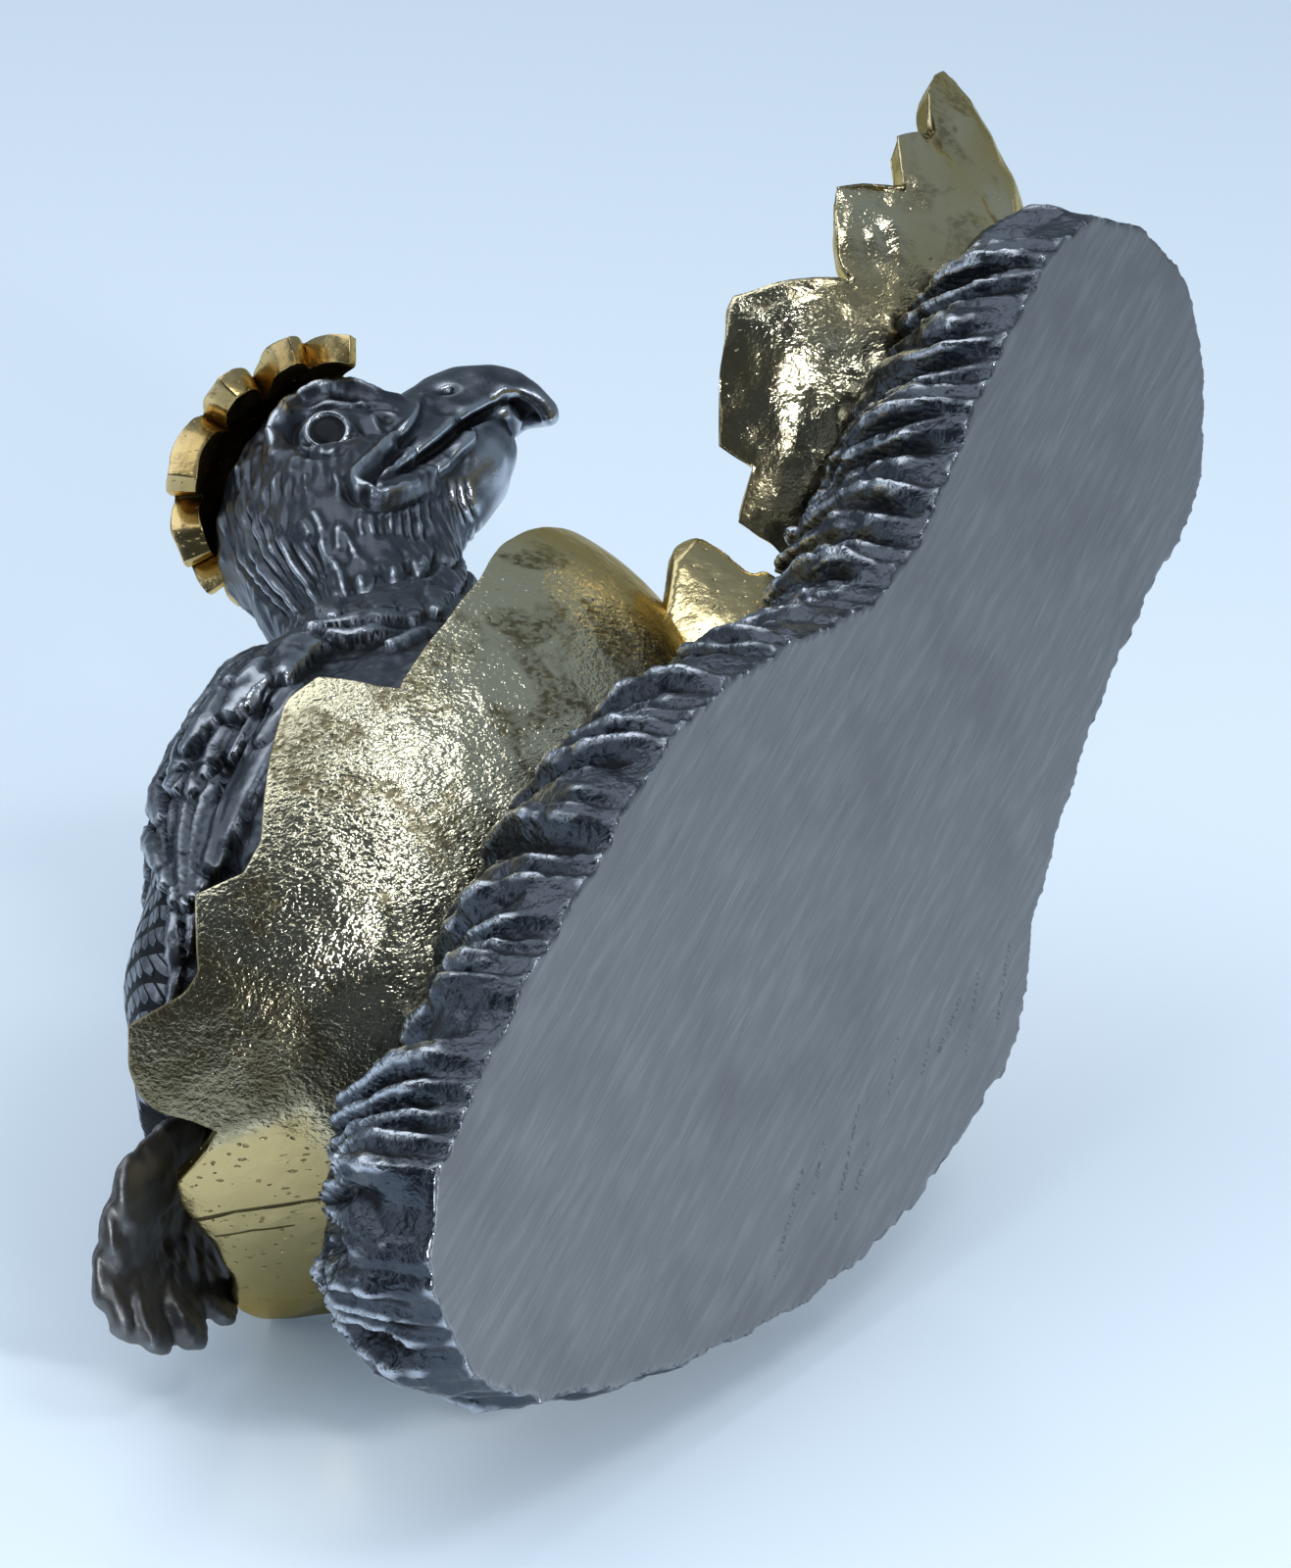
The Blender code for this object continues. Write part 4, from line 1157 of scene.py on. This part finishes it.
# Feathers towards the middle of the back: start, end, turn (90 is the middle), half width, lift
BACK_FEATHERS = [
    (4, -20, 50, 1.5, 0.1), (7, -21, 60, 1.5, 0.12), (9, -20, 70, 1.5, 0.16), (12, -17, 79, 1.6, 0.24),
    (12, -20, 89, 1.5, 0.2), (8, -15, 41, 1.4, 0.16), (11, -12, 51, 1.4, 0.24), (13, -9, 61, 1.5, 0.32),
    (14, -6, 71, 1.5, 0.36), (16, -6, 83, 1.5, 0.36), (13, -5, 34, 1.2, 0.28), (15, -2, 45, 1.3, 0.36),
    (17, 0, 56, 1.4, 0.44), (18, 2, 66, 1.4, 0.48), (19, 3, 78, 1.5, 0.52), (19, 5, 90, 1.4, 0.48),
    (17, 6, 42, 1.1, 0.44), (19, 7, 54, 1.2, 0.52), (20, 8, 68, 1.2, 0.56), (21, 9, 84, 1.3, 0.56),
]


def feather_relief(spots, feathers):
    """How far the feathers raise each point, in millimetres: as far as the highest of those over it."""
    relief = np.zeros(len(spots))
    for path, half_width, thick, lift in feathers:
        reach = 1.5 * half_width * MM
        near = np.all((spots > path.min(0) - reach) & (spots < path.max(0) + reach), axis=1)
        away, along = near_path(spots[near], path)
        leaf = (0.55 + 0.45 * rise(along, 0, 0.3)) * (1 - 0.38 * rise(along, 0.6, 1.0))
        across = away / (half_width * MM * leaf)
        crown = 0.70 + 0.30 * np.sqrt(np.clip(1 - across ** 2, 0, 1)) + 0.14 * np.exp(-(across / 0.16) ** 2)
        rooted = 0.25 + 0.75 * rise(along, 0, 0.45)
        height = (lift + thick * crown) * rooted * (1 - rise(across, 0.86, 1.10))
        groove = 0.40 * np.exp(-((across - 1.22) / 0.20) ** 2) * (relief[near] > 0.1)
        relief[near] = np.maximum(relief[near] - groove, height)
    return relief


def folded_about_body(spots):
    """The points with the left side laid over the right."""
    xs, ys, _ = body_spine()
    middle = np.interp(spots[:, 0] / MM, xs, ys) * MM
    folded = spots.copy()
    folded[:, 1] = middle - np.abs(spots[:, 1] - middle)
    return folded


def carve_body(body, finish):
    """Wings laid over the body, scales over the back and the finish of both."""
    surface = surface_of(body)

    feathers = []
    for first, last, turn, half_width, lift in BACK_FEATHERS:
        route = [on_body(first + (last - first) * t / 7, turn) * MM for t in range(8)]
        feathers.append((rows(route), half_width, 0.9, lift))
    for pixels, half_width, thick, lift in NECK_LEAVES + WING_FEATHERS:
        path = rows(landing(surface, pixel, BODY_HEART) for pixel in smooth_pixels(pixels))
        feathers.append((path, half_width, thick, lift))
    spots = spots_of(body)
    outward = broad_outward(body, edges_of(body))
    folded = folded_about_body(spots)
    relief = feather_relief(folded, feathers)
    x, y, z, turn = body_turns(spots)
    scaled = rise(-x, 16, 19) * (1 - rise(relief, 0.1, 0.3)) * rise(turn, -18, -8)
    rough = 0.20 * ripple(folded * np.array((0.35, 1, 1)), 1.1 * MM, 31)
    rough += 0.10 * ripple(folded, 0.8 * MM, 32)
    change = relief + rough * (1 - 0.7 * scaled) * (1 - 0.6 * rise(relief, 0.1, 0.5))
    move_to(body, spots + outward * (change * MM)[:, None])
    held_in_shell(body)
    keep_wear(body, 12, 0.42)
    covered = rise(relief, 0.15, 0.6)
    # Painted shade: the bare body beside the wings is darkened, as if the shell shadowed it
    keep_more(body, "hollow_and_shade", 0.35 * (1 - covered) * (1 - scaled))
    keep_more(body, "raised_and_lit", 0.20 * covered)
    keep_value(body, "scale_along", -x / 1.9)
    keep_value(body, "scale_across", np.arctan2(y, z) * np.maximum(np.hypot(y, z), 3) / 1.3)
    keep_value(body, "scaled", scaled)
    dress(body, finish)


def held_in_shell(thing, gap=0.15):
    """Keeps what lies below the main bowl's broken edge inside its wall."""
    spots = spots_of(thing)
    local = spots / MM - np.array(MAIN_MIDDLE)
    turn = np.degrees(np.arctan2(local[:, 1], local[:, 0]))
    closed = [(a - 360, h) for a, h in MAIN_RIM] + MAIN_RIM + [(a + 360, h) for a, h in MAIN_RIM]
    edge = np.interp(turn, [a for a, _ in closed], [h for _, h in closed]) * MAIN_RADII[2]
    inner = np.array(MAIN_RADII) - WALL - gap
    reach = np.linalg.norm(local / inner, axis=1)
    low = 1 - rise(local[:, 2], edge + 1.0, edge + 2.2)
    pull = np.where(reach > 1, 1 / np.maximum(reach, 1e-6), 1.0)
    local = local * (1 + (pull - 1) * low)[:, None]
    move_to(thing, (local + np.array(MAIN_MIDDLE)) * MM)


# Where each tail feather ends in the picture, and how far to the left that is, in millimetres
TAIL_TIPS = [
    ((118, 1232), -8.2), ((110, 1280), -5.8), ((102, 1330), -3.2), ((124, 1362), -0.8), ((156, 1377), 1.6),
    ((194, 1372), 4.3), ((230, 1350), 6.9),
]
TAIL_ROOT_PIXEL = (206, 1150)
TAIL_GRAIN = 0.3
ROUTE_STEPS = 13


def spot_abreast(pixel, y):
    """Where the line of sight through a pixel comes as far left as the given y, in millimetres."""
    line = sight_line(*pixel)
    return CAMERA_PLACE / MM + line * ((y - CAMERA_PLACE.y / MM) / line.y)


def make_tail(finish):
    """The tail's fan, drooping over the shell's edge."""
    master = feather_master()
    feathers = []
    for k, (pixel, y) in enumerate(TAIL_TIPS):
        spread = 2 * k / (len(TAIL_TIPS) - 1) - 1
        root = spot_abreast(TAIL_ROOT_PIXEL, -1.5 + 2.4 * spread)
        end = spot_abreast(pixel, y)
        bend = root.lerp(end, 0.5) + Vector((-0.6, 0, 1.2 - 2.6 * max(0, -spread)))
        normal = Vector((-0.35, 0.16 * spread, 1)).normalized()
        shares = [j / ROUTE_STEPS for j in range(ROUTE_STEPS + 1)]
        route = [root * (1 - t) ** 2 + bend * 2 * t * (1 - t) + end * t * t for t in shares]
        width = 3.3 - 0.7 * max(0, spread) ** 3
        thick = 1.0 + 0.25 * (k % 2)
        feathers.append(lay_feather(master, f"tail feather {k}", route, normal, width, thick, k, 0.84))
    bpy.data.objects.remove(master)
    tail = joined(feathers, "tail")
    finish_with(tail, 'SUBSURF', levels=1, render_levels=1)
    tail.data.transform(Matrix.Scale(1 / MM, 4))
    finish_with(tail, 'REMESH', mode='VOXEL', voxel_size=TAIL_GRAIN)
    tail.data.transform(Matrix.Scale(MM, 4))
    spots = relaxed(spots_of(tail), edges_of(tail), 3)
    rough = 0.10 * ripple(spots, 1.8 * MM, 41) + 0.06 * ripple(spots, 0.8 * MM, 42)
    move_to(tail, spots + outward_of(tail) * (rough * MM)[:, None])
    keep_wear(tail, 10, 0.55)
    # Painted fill light: the whole tail is made lighter, as if lit from below
    keep_more(tail, "raised_and_lit", np.full(len(tail.data.vertices), 0.22))
    dress(tail, finish)
    return tail


# Head

HEAD_GRAIN = 0.24
# On the head's own axes, in millimetres: the beak's hook, the bare cheek and the rubbed line of the jaw
HOOK = ((23.4, 0, 0.3), (1.3, 1.15, 1.9))
CHEEK_LINE = [(3, -9, 2), (3.1, -9, 2)]
JAW_LINE = [(15.5, -2.0, -4.5), (11.5, -3.0, -7.0)]
# The eye: its pixel, its rim's radius, and how deep its metal reaches
EYE_PIXEL = (334, 441)
EYE_RADIUS = 1.80
EYE_DEPTH = 3.5
FAR_FROM_EYE = 99.0
# Marks on the head in pixels: path, width and depth in millimetres, a ridge where the depth is positive
HEAD_MARKS = [
    # brow ridge and the hollow under it
    ([(281, 466), (281, 446), (291, 426), (308, 412), (328, 404), (354, 401), (380, 402), (405, 406)],
     0.80, 1.5),
    ([(296, 456), (298, 437), (309, 423), (330, 415), (356, 413), (385, 414), (402, 418)], 0.42, -0.9),
    ([(268, 455), (270, 436), (282, 414), (300, 401)], 0.5, -0.6),
    ([(374, 416), (392, 424), (402, 432)], 0.5, -0.5),
    # folds round the eye
    ([(303, 455), (316, 464), (336, 465), (354, 456)], 0.42, -0.6),
    ([(300, 446), (304, 456), (314, 462)], 0.4, -0.4),
    # lip, mouth and lower lip
    ([(393, 479), (412, 471), (437, 451), (466, 427), (490, 412), (514, 399)], 0.85, 0.75),
    ([(391, 486), (405, 482), (421, 474), (437, 463), (452, 452), (466, 440), (490, 424), (514, 410),
      (526, 408)], 0.36, -1.5),
    ([(394, 496), (415, 491), (437, 483), (455, 471), (470, 456), (488, 440), (515, 424)], 0.62, 0.75),
    ([(518, 407), (530, 412), (540, 424), (545, 436)], 0.62, -1.2),
    # fold at the corner of the mouth
    ([(432, 404), (422, 430), (403, 449), (381, 468), (362, 488), (368, 502), (390, 507), (415, 501),
      (438, 490)], 0.66, 1.1),
    ([(412, 458), (388, 477), (377, 489), (384, 497), (402, 495)], 0.42, -0.75),
    ([(352, 486), (358, 508), (384, 518), (415, 512), (438, 502)], 0.38, -0.55),
    ([(450, 470), (468, 466), (480, 472)], 0.8, -0.3),
    # cere and nostril
    ([(434, 402), (430, 425), (418, 445), (404, 458)], 0.45, -0.5),
    ([(450, 400), (464, 396)], 0.36, -0.8),
    ([(365, 425), (372, 440), (384, 452)], 0.5, -0.35), ([(390, 420), (394, 436), (402, 446)], 0.5, -0.3),
    ([(378, 420), (384, 436), (394, 448)], 0.4, 0.25),
]
# Throat, nape and cheek: fine strokes of the plumage
HEAD_STROKES = [
    ([(395, 520), (393, 532), (396, 548)], 0.28, -0.5), ([(404, 517), (403, 530), (406, 550)], 0.28, -0.5),
    ([(413, 514), (413, 530), (416, 551)], 0.28, -0.5), ([(422, 511), (423, 530), (426, 552)], 0.28, -0.55),
    ([(431, 507), (433, 528), (437, 552)], 0.28, -0.55), ([(440, 503), (443, 526), (448, 550)], 0.28, -0.55),
    ([(449, 499), (453, 522), (459, 546)], 0.28, -0.55), ([(458, 495), (462, 518), (468, 542)], 0.28, -0.55),
    ([(467, 492), (471, 514), (478, 536)], 0.28, -0.5), ([(476, 492), (480, 512), (486, 530)], 0.28, -0.45),
    ([(228, 508), (231, 540), (246, 580), (274, 616), (300, 640)], 0.34, -0.6),
    ([(238, 500), (242, 540), (258, 582), (284, 614), (308, 638)], 0.34, -0.6),
    ([(248, 492), (251, 530), (268, 574), (294, 608), (318, 636)], 0.34, -0.65),
    ([(259, 500), (263, 540), (282, 580), (304, 610), (324, 634)], 0.34, -0.6),
    ([(270, 520), (278, 556), (298, 590), (314, 614), (330, 634)], 0.34, -0.65),
    ([(284, 540), (300, 568), (318, 598), (332, 630)], 0.34, -0.65),
    ([(298, 548), (314, 572), (328, 600), (338, 628)], 0.34, -0.6),
    ([(310, 545), (324, 570), (336, 600), (342, 626)], 0.32, -0.5),
    ([(246, 466), (242, 484), (244, 505)], 0.3, -0.45), ([(256, 470), (252, 490), (255, 512)], 0.3, -0.45),
    ([(266, 480), (262, 500), (266, 520)], 0.3, -0.4), ([(276, 490), (272, 505), (276, 524)], 0.3, -0.35),
    ([(286, 478), (284, 492), (286, 508)], 0.3, -0.3), ([(298, 484), (296, 500), (299, 515)], 0.3, -0.3),
    ([(312, 480), (311, 492), (313, 504)], 0.3, 0.25), ([(338, 470), (336, 486), (339, 502)], 0.3, -0.25),
    ([(304, 530), (312, 540), (318, 552)], 0.55, 0.45), ([(316, 520), (324, 532), (330, 548)], 0.5, 0.4),
    ([(326, 548), (332, 566), (340, 584)], 0.6, 0.5), ([(330, 586), (336, 600), (342, 616)], 0.6, 0.45),
    ([(344, 536), (346, 552), (350, 568)], 0.5, 0.5), ([(352, 540), (358, 556), (362, 570)], 0.4, 0.4),
    ([(342, 572), (350, 590), (352, 604)], 0.5, 0.45), ([(366, 528), (368, 540), (372, 552)], 0.4, 0.35),
    ([(378, 522), (379, 536), (382, 550)], 0.4, 0.35), ([(386, 520), (386, 534), (388, 548)], 0.28, -0.4),
    ([(352, 575), (356, 600), (368, 616), (382, 608), (386, 584)], 0.32, -0.6),
    ([(384, 570), (388, 592), (400, 602), (414, 592), (416, 570)], 0.32, -0.6),
    ([(412, 562), (418, 580), (430, 588), (444, 576), (446, 556)], 0.32, -0.6),
    ([(444, 554), (450, 572), (462, 578), (474, 566), (474, 546)], 0.32, -0.55),
    ([(366, 616), (378, 634), (396, 638), (410, 622), (412, 604)], 0.32, -0.6),
    ([(404, 606), (414, 624), (430, 628), (444, 610), (444, 592)], 0.32, -0.6),
    ([(440, 596), (450, 610), (466, 610), (478, 594), (478, 574)], 0.32, -0.55),
    ([(366, 586), (370, 600)], 0.35, 0.35), ([(400, 578), (401, 592)], 0.35, 0.35),
    ([(430, 568), (431, 580)], 0.35, 0.35), ([(388, 612), (390, 628)], 0.35, 0.35),
]


def head_tube(name, stations, sides):
    """A solid on the head's own axes from its sections."""
    sections = [(Vector((ahead, 0, up)), Vector((0, half_width, 0)), Vector((0, 0, above)), below / above)
                for ahead, up, half_width, above, below in stations]
    return ringed_tube(name, sections, sides)


def head_blank():
    """Skull, beak, throat and neck in one, ready to mark."""
    head = joined([head_tube("skull", SKULL, 28), head_tube("upper beak", UPPER_BEAK, 20),
                   head_tube("lower beak", LOWER_BEAK, 20), ball("hook", *HOOK)], "eagle_head")
    head.data.transform(Matrix.Translation(SKULL_MIDDLE) @ HEAD_AXES.to_4x4())
    lower_neck = body_sections()[6:]
    middle, across, upward, below = lower_neck[0]
    lower_neck[0] = (middle, across * 0.90, upward * 0.86, below)
    head = joined([head, ringed_tube("neck", lower_neck, 28)], "eagle_head")
    finish_with(head, 'REMESH', mode='VOXEL', voxel_size=HEAD_GRAIN)
    move_to(head, relaxed(spots_of(head), edges_of(head), 12))
    head.data.transform(Matrix.Scale(MM, 4))
    return head


def plumage_strands(local, folded):
    """The fine strands behind the face and a slight unevenness all over, in millimetres."""
    down = folded @ np.array((0.35, 0.0, 0.94))
    side = folded @ np.array((0.94, 0.0, -0.35))
    flow = np.stack((down * 0.24, side, folded[:, 1]), 1)
    plumage = 1 - rise(local[:, 0] / MM - 0.45 * np.abs(local[:, 2]) / MM, 4, 9)
    from_cheek = near_path(folded, np.array(CHEEK_LINE) * MM)[0]
    plumage *= 1 - rise(-from_cheek, -5 * MM, -3 * MM)
    return 0.16 * ripple(flow, 0.85 * MM, 21) * plumage + 0.12 * ripple(folded, 2.4 * MM, 23)


def make_head(finish):
    """The head with its marks pressed in and its eyes set in, the left side like the right."""
    head = head_blank()
    surface = surface_of(head)
    axes = np.array(HEAD_AXES)
    heart = np.array(SKULL_MIDDLE) * MM
    local = (spots_of(head) - heart) @ axes
    folded = local.copy()
    folded[:, 1] = -np.abs(folded[:, 1])
    outward = outward_of(head) @ axes * np.where(local[:, 1:2] > 0, (1, -1, 1), (1, 1, 1))
    change = plumage_strands(local, folded)
    for pixels, width, depth in HEAD_MARKS + HEAD_STROKES:
        path = rows(landing(surface, pixel, Vector(heart)) for pixel in smooth_pixels(pixels))
        away, along = near_path(folded, (path - heart) @ axes)
        fade = np.clip(np.minimum(along, 1 - along) * 5, 0.35, 1)
        change += depth * fade * np.exp(-(away / (width * MM)) ** 2)
    eye, facing = surface.find_nearest(landing(surface, EYE_PIXEL, Vector(heart)))[:2]
    towards = np.array(facing) @ axes + 1.5 * (np.array(-CAMERA_AHEAD) @ axes)
    towards /= np.linalg.norm(towards)
    from_eye = folded - (np.array(eye) - heart) @ axes
    depth = from_eye @ towards
    reach = np.linalg.norm(from_eye - depth[:, None] * towards, axis=1) / MM
    reach = np.where(np.abs(depth) < EYE_DEPTH * MM, reach, FAR_FROM_EYE)
    ring = np.exp(-((reach - EYE_RADIUS) / 0.25) ** 2)
    pupil = 1 - rise(reach, 1.05, 1.35)
    change = change * rise(reach, 2.0, 2.9)
    moved = folded + outward * (change * MM)[:, None]
    level = 0.1 + 0.50 * ring + 0.40 * pupil * np.sqrt(np.clip(1 - (reach / 1.9) ** 2, 0, 1))
    flat = folded + towards * (level * MM - depth)[:, None]
    moved = moved + (flat - moved) * (1 - rise(reach, 2.1, 3.0))[:, None]
    moved[:, 1] *= np.where(local[:, 1] > 0, -1, 1)
    move_to(head, moved @ axes.T + heart)
    keep_wear(head, 14, 0.16)
    keep_more(head, "hollow_and_shade", np.maximum(0.9 * pupil, 0.5 * (1 - rise(np.abs(reach - 1.4), 0.15, 0.3))))
    keep_more(head, "raised_and_lit", 0.9 * ring + 0.30 * rise(local[:, 0], 12 * MM, 16 * MM))
    jaw = near_path(folded, np.array(JAW_LINE) * MM)[0]
    keep_more(head, "raised_and_lit", 0.45 * (1 - rise(jaw, 1.0 * MM, 4.5 * MM)))
    dress(head, finish)
    return head


# Camera, lights and table


def add_camera():
    start_fresh()
    bpy.ops.object.camera_add(location=CAMERA_PLACE)
    camera = bpy.context.active_object
    camera.name = "camera"
    axes = Matrix((CAMERA_RIGHT, CAMERA_UP, -CAMERA_AHEAD)).transposed()
    camera.rotation_mode = 'QUATERNION'
    camera.rotation_quaternion = axes.to_quaternion()
    camera.data.sensor_width = SENSOR
    camera.data.lens = FOCAL_PIXELS * SENSOR / PICTURE_HEIGHT
    camera.data.clip_start = 0.01
    bpy.context.scene.camera = camera


def camera_direction(right, up, towards):
    """A way out from the piece, given as shares to the camera's right, up, and back towards it."""
    return (CAMERA_RIGHT * right + CAMERA_UP * up - CAMERA_AHEAD * towards).normalized()


# Lamps: name, direction, distance and size in metres, watts, colour
SOFT_BOXES = [
    ("soft box beside the camera", (0.50, 0.09, 0.86), 0.55, 0.05, 1.4, (0.88, 0.94, 1.0)),
    ("soft box over the right", (0.40, 0.76, 0.51), 0.60, 0.16, 0.55, (0.86, 0.93, 1.0)),
    ("soft box overhead", (-0.35, 0.90, 0.05), 0.80, 0.80, 2.6, (0.92, 0.96, 1.0)),
    ("soft box low on the left", (-0.90, 0.20, 0.20), 0.70, 0.35, 0.3, (0.92, 0.96, 1.0)),
]
LIT_SPOT = Vector((0, -0.005, 0.035))


def add_lights():
    for name, direction, distance, size, watts, colour in SOFT_BOXES:
        away = camera_direction(*direction)
        start_fresh()
        bpy.ops.object.light_add(type='AREA', location=LIT_SPOT + away * distance)
        lamp = bpy.context.active_object
        lamp.name = name
        lamp.data.size = size
        lamp.data.energy = watts
        lamp.data.color = colour
        lamp.rotation_mode = 'QUATERNION'
        lamp.rotation_quaternion = away.to_track_quat('Z', 'Y')


# The surroundings: their colour, and their strength at the camera's back, to its sides and on matt faces
WORLD_COLOUR = (0.67, 0.83, 1.0, 1)
WORLD_BEHIND = 0.06
WORLD_BESIDE = 0.34
WORLD_ON_MATT = 0.9


def add_world():
    """A pale surrounding, dimmer where the metal mirrors the room behind the camera."""
    world = bpy.data.worlds.new("studio")
    bpy.context.scene.world = world
    world.use_nodes = True
    nodes = Nodes(world.node_tree)
    place = nodes.node("ShaderNodeTexCoord", output="Generated")
    behind = nodes.vector_math('DOT_PRODUCT', place, -CAMERA_AHEAD)
    mirrored = nodes.step(behind, 0.1, 0.95, WORLD_BESIDE, WORLD_BEHIND)
    on_matt = nodes.node("ShaderNodeLightPath", output="Is Diffuse Ray")
    on_view = nodes.node("ShaderNodeLightPath", output="Is Camera Ray")
    strength = nodes.between(on_view, nodes.between(on_matt, mirrored, WORLD_ON_MATT), 1.0)
    background = nodes.tree.nodes["Background"]
    nodes.give(background, "Color", WORLD_COLOUR)
    nodes.give(background, "Strength", strength)


TABLE_LOOK = {
    "Base Color": (0.74, 0.765, 0.79, 1), "Emission Color": (0.05, 0.072, 0.10, 1), "Emission Strength": 1.0,
    "Roughness": 0.18, "Specular IOR Level": 0.8,
}


def add_table(pieces):
    """The pale table under the lowest spots of the piece as it lies; it shows from above only."""
    lowest = min(float((spots_of(piece) @ np.array(TABLE_UP)).min()) for piece in pieces)
    start_fresh()
    bpy.ops.mesh.primitive_plane_add(size=TABLE_SIZE, location=TABLE_UP * (lowest - 0.05 * MM))
    table = bpy.context.active_object
    table.name = "pale_table"
    table.rotation_mode = 'QUATERNION'
    table.rotation_quaternion = TABLE_UP.to_track_quat('Z', 'Y')
    cover = bpy.data.materials.new("Pale table")
    cover.use_nodes = True
    nodes = Nodes(cover.node_tree)
    shader = nodes.tree.nodes["Principled BSDF"]
    for name, value in TABLE_LOOK.items():
        nodes.give(shader, name, value)
    clear = nodes.node("ShaderNodeBsdfTransparent")
    below = nodes.node("ShaderNodeNewGeometry", output="Backfacing")
    paint = Socket(nodes, shader.outputs[0])
    shown = nodes.node("ShaderNodeMixShader", None, {0: below, 1: paint, 2: clear})
    nodes.give(nodes.tree.nodes["Material Output"], "Surface", shown)
    table.data.materials.append(cover)


def cap_axes():
    axis = (HEAD_UP * 0.866 + HEAD_LEFT * 0.50).normalized()
    across = axis.cross(HEAD_AHEAD).normalized()
    return Matrix((across.cross(axis), across, -axis)).transposed()


def main_scene():
    bpy.context.scene.view_settings.view_transform = 'Standard'
    add_camera()
    plain = Matrix.Identity(3)
    gold = gilding("Crinkled gilding", cracked=True)
    gold_front = gilding("Gilding of the front bowl", grain=0.75)
    gold_cap = gilding("Gilding of the cap", grain=0.6, pale=GOLD_WARM)
    gold_shard = gilding("Gilding of the shard", grain=0.6)
    pewter = antique_pewter("Antique pewter")
    scales = antique_pewter("Scaled pewter", scaled=True)
    main = make_shell("gilded_bowl", MAIN_MIDDLE, MAIN_RADII, plain, MAIN_RIM, WALL, 1.9, 40, gold,
                      main_smooth_zone, [(7, 0.07, 1), (2.4, 0.05, 2)], 0.35)
    swollen(main, BULGE_SPOT, BULGE_RADIUS, BULGE_HEIGHT)
    darken_tail_end(main)
    front = make_shell("gilded_front_bowl", FRONT_MIDDLE, FRONT_RADII, Matrix.Rotation(FRONT_TURN, 3, 'Z'),
                       FRONT_RIM, WALL, 2.2, 34, gold_front, front_smooth_zone,
                       [(9, 0.50, 4), (4, 0.34, 5), (1.5, 0.12, 6)], 0.75)
    cap_middle = SKULL_MIDDLE + HEAD_AXES @ Vector((1.4, -2.4, 1.8))
    cap = make_shell("gilded_cap", cap_middle, CAP_RADII, cap_axes(), CAP_RIM, CAP_WALL, 4.0, 20, gold_cap,
                     cap_smooth_zone, [(4.5, 0.40, 7), (1.8, 0.16, 8)], 0.6)
    shard = make_shard(gold_shard)
    rock = make_rock(rock_pewter())
    body = make_body()
    carve_body(body, scales)
    tail = make_tail(antique_pewter("Dull pewter of the tail", middle=TAIL_GREY_PAINTED_LIGHTER, dull=0.12))
    head = make_head(pewter)
    stands_for = [(main, "main_shell", "gilding"), (front, "front_shell", "gilding"),
                  (cap, "head_cap", "gilding"), (shard, "shell_shard", "gilding"),
                  (rock, "rock_base", "rock_pewter")]
    stands_for += [(piece, "eagle", "eagle_pewter") for piece in (body, tail, head)]
    for piece, node, slot in stands_for:
        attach(piece, "root")
        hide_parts(node)
    add_lights()
    add_world()
    add_table([piece for piece, _, _ in stands_for])


main_scene()
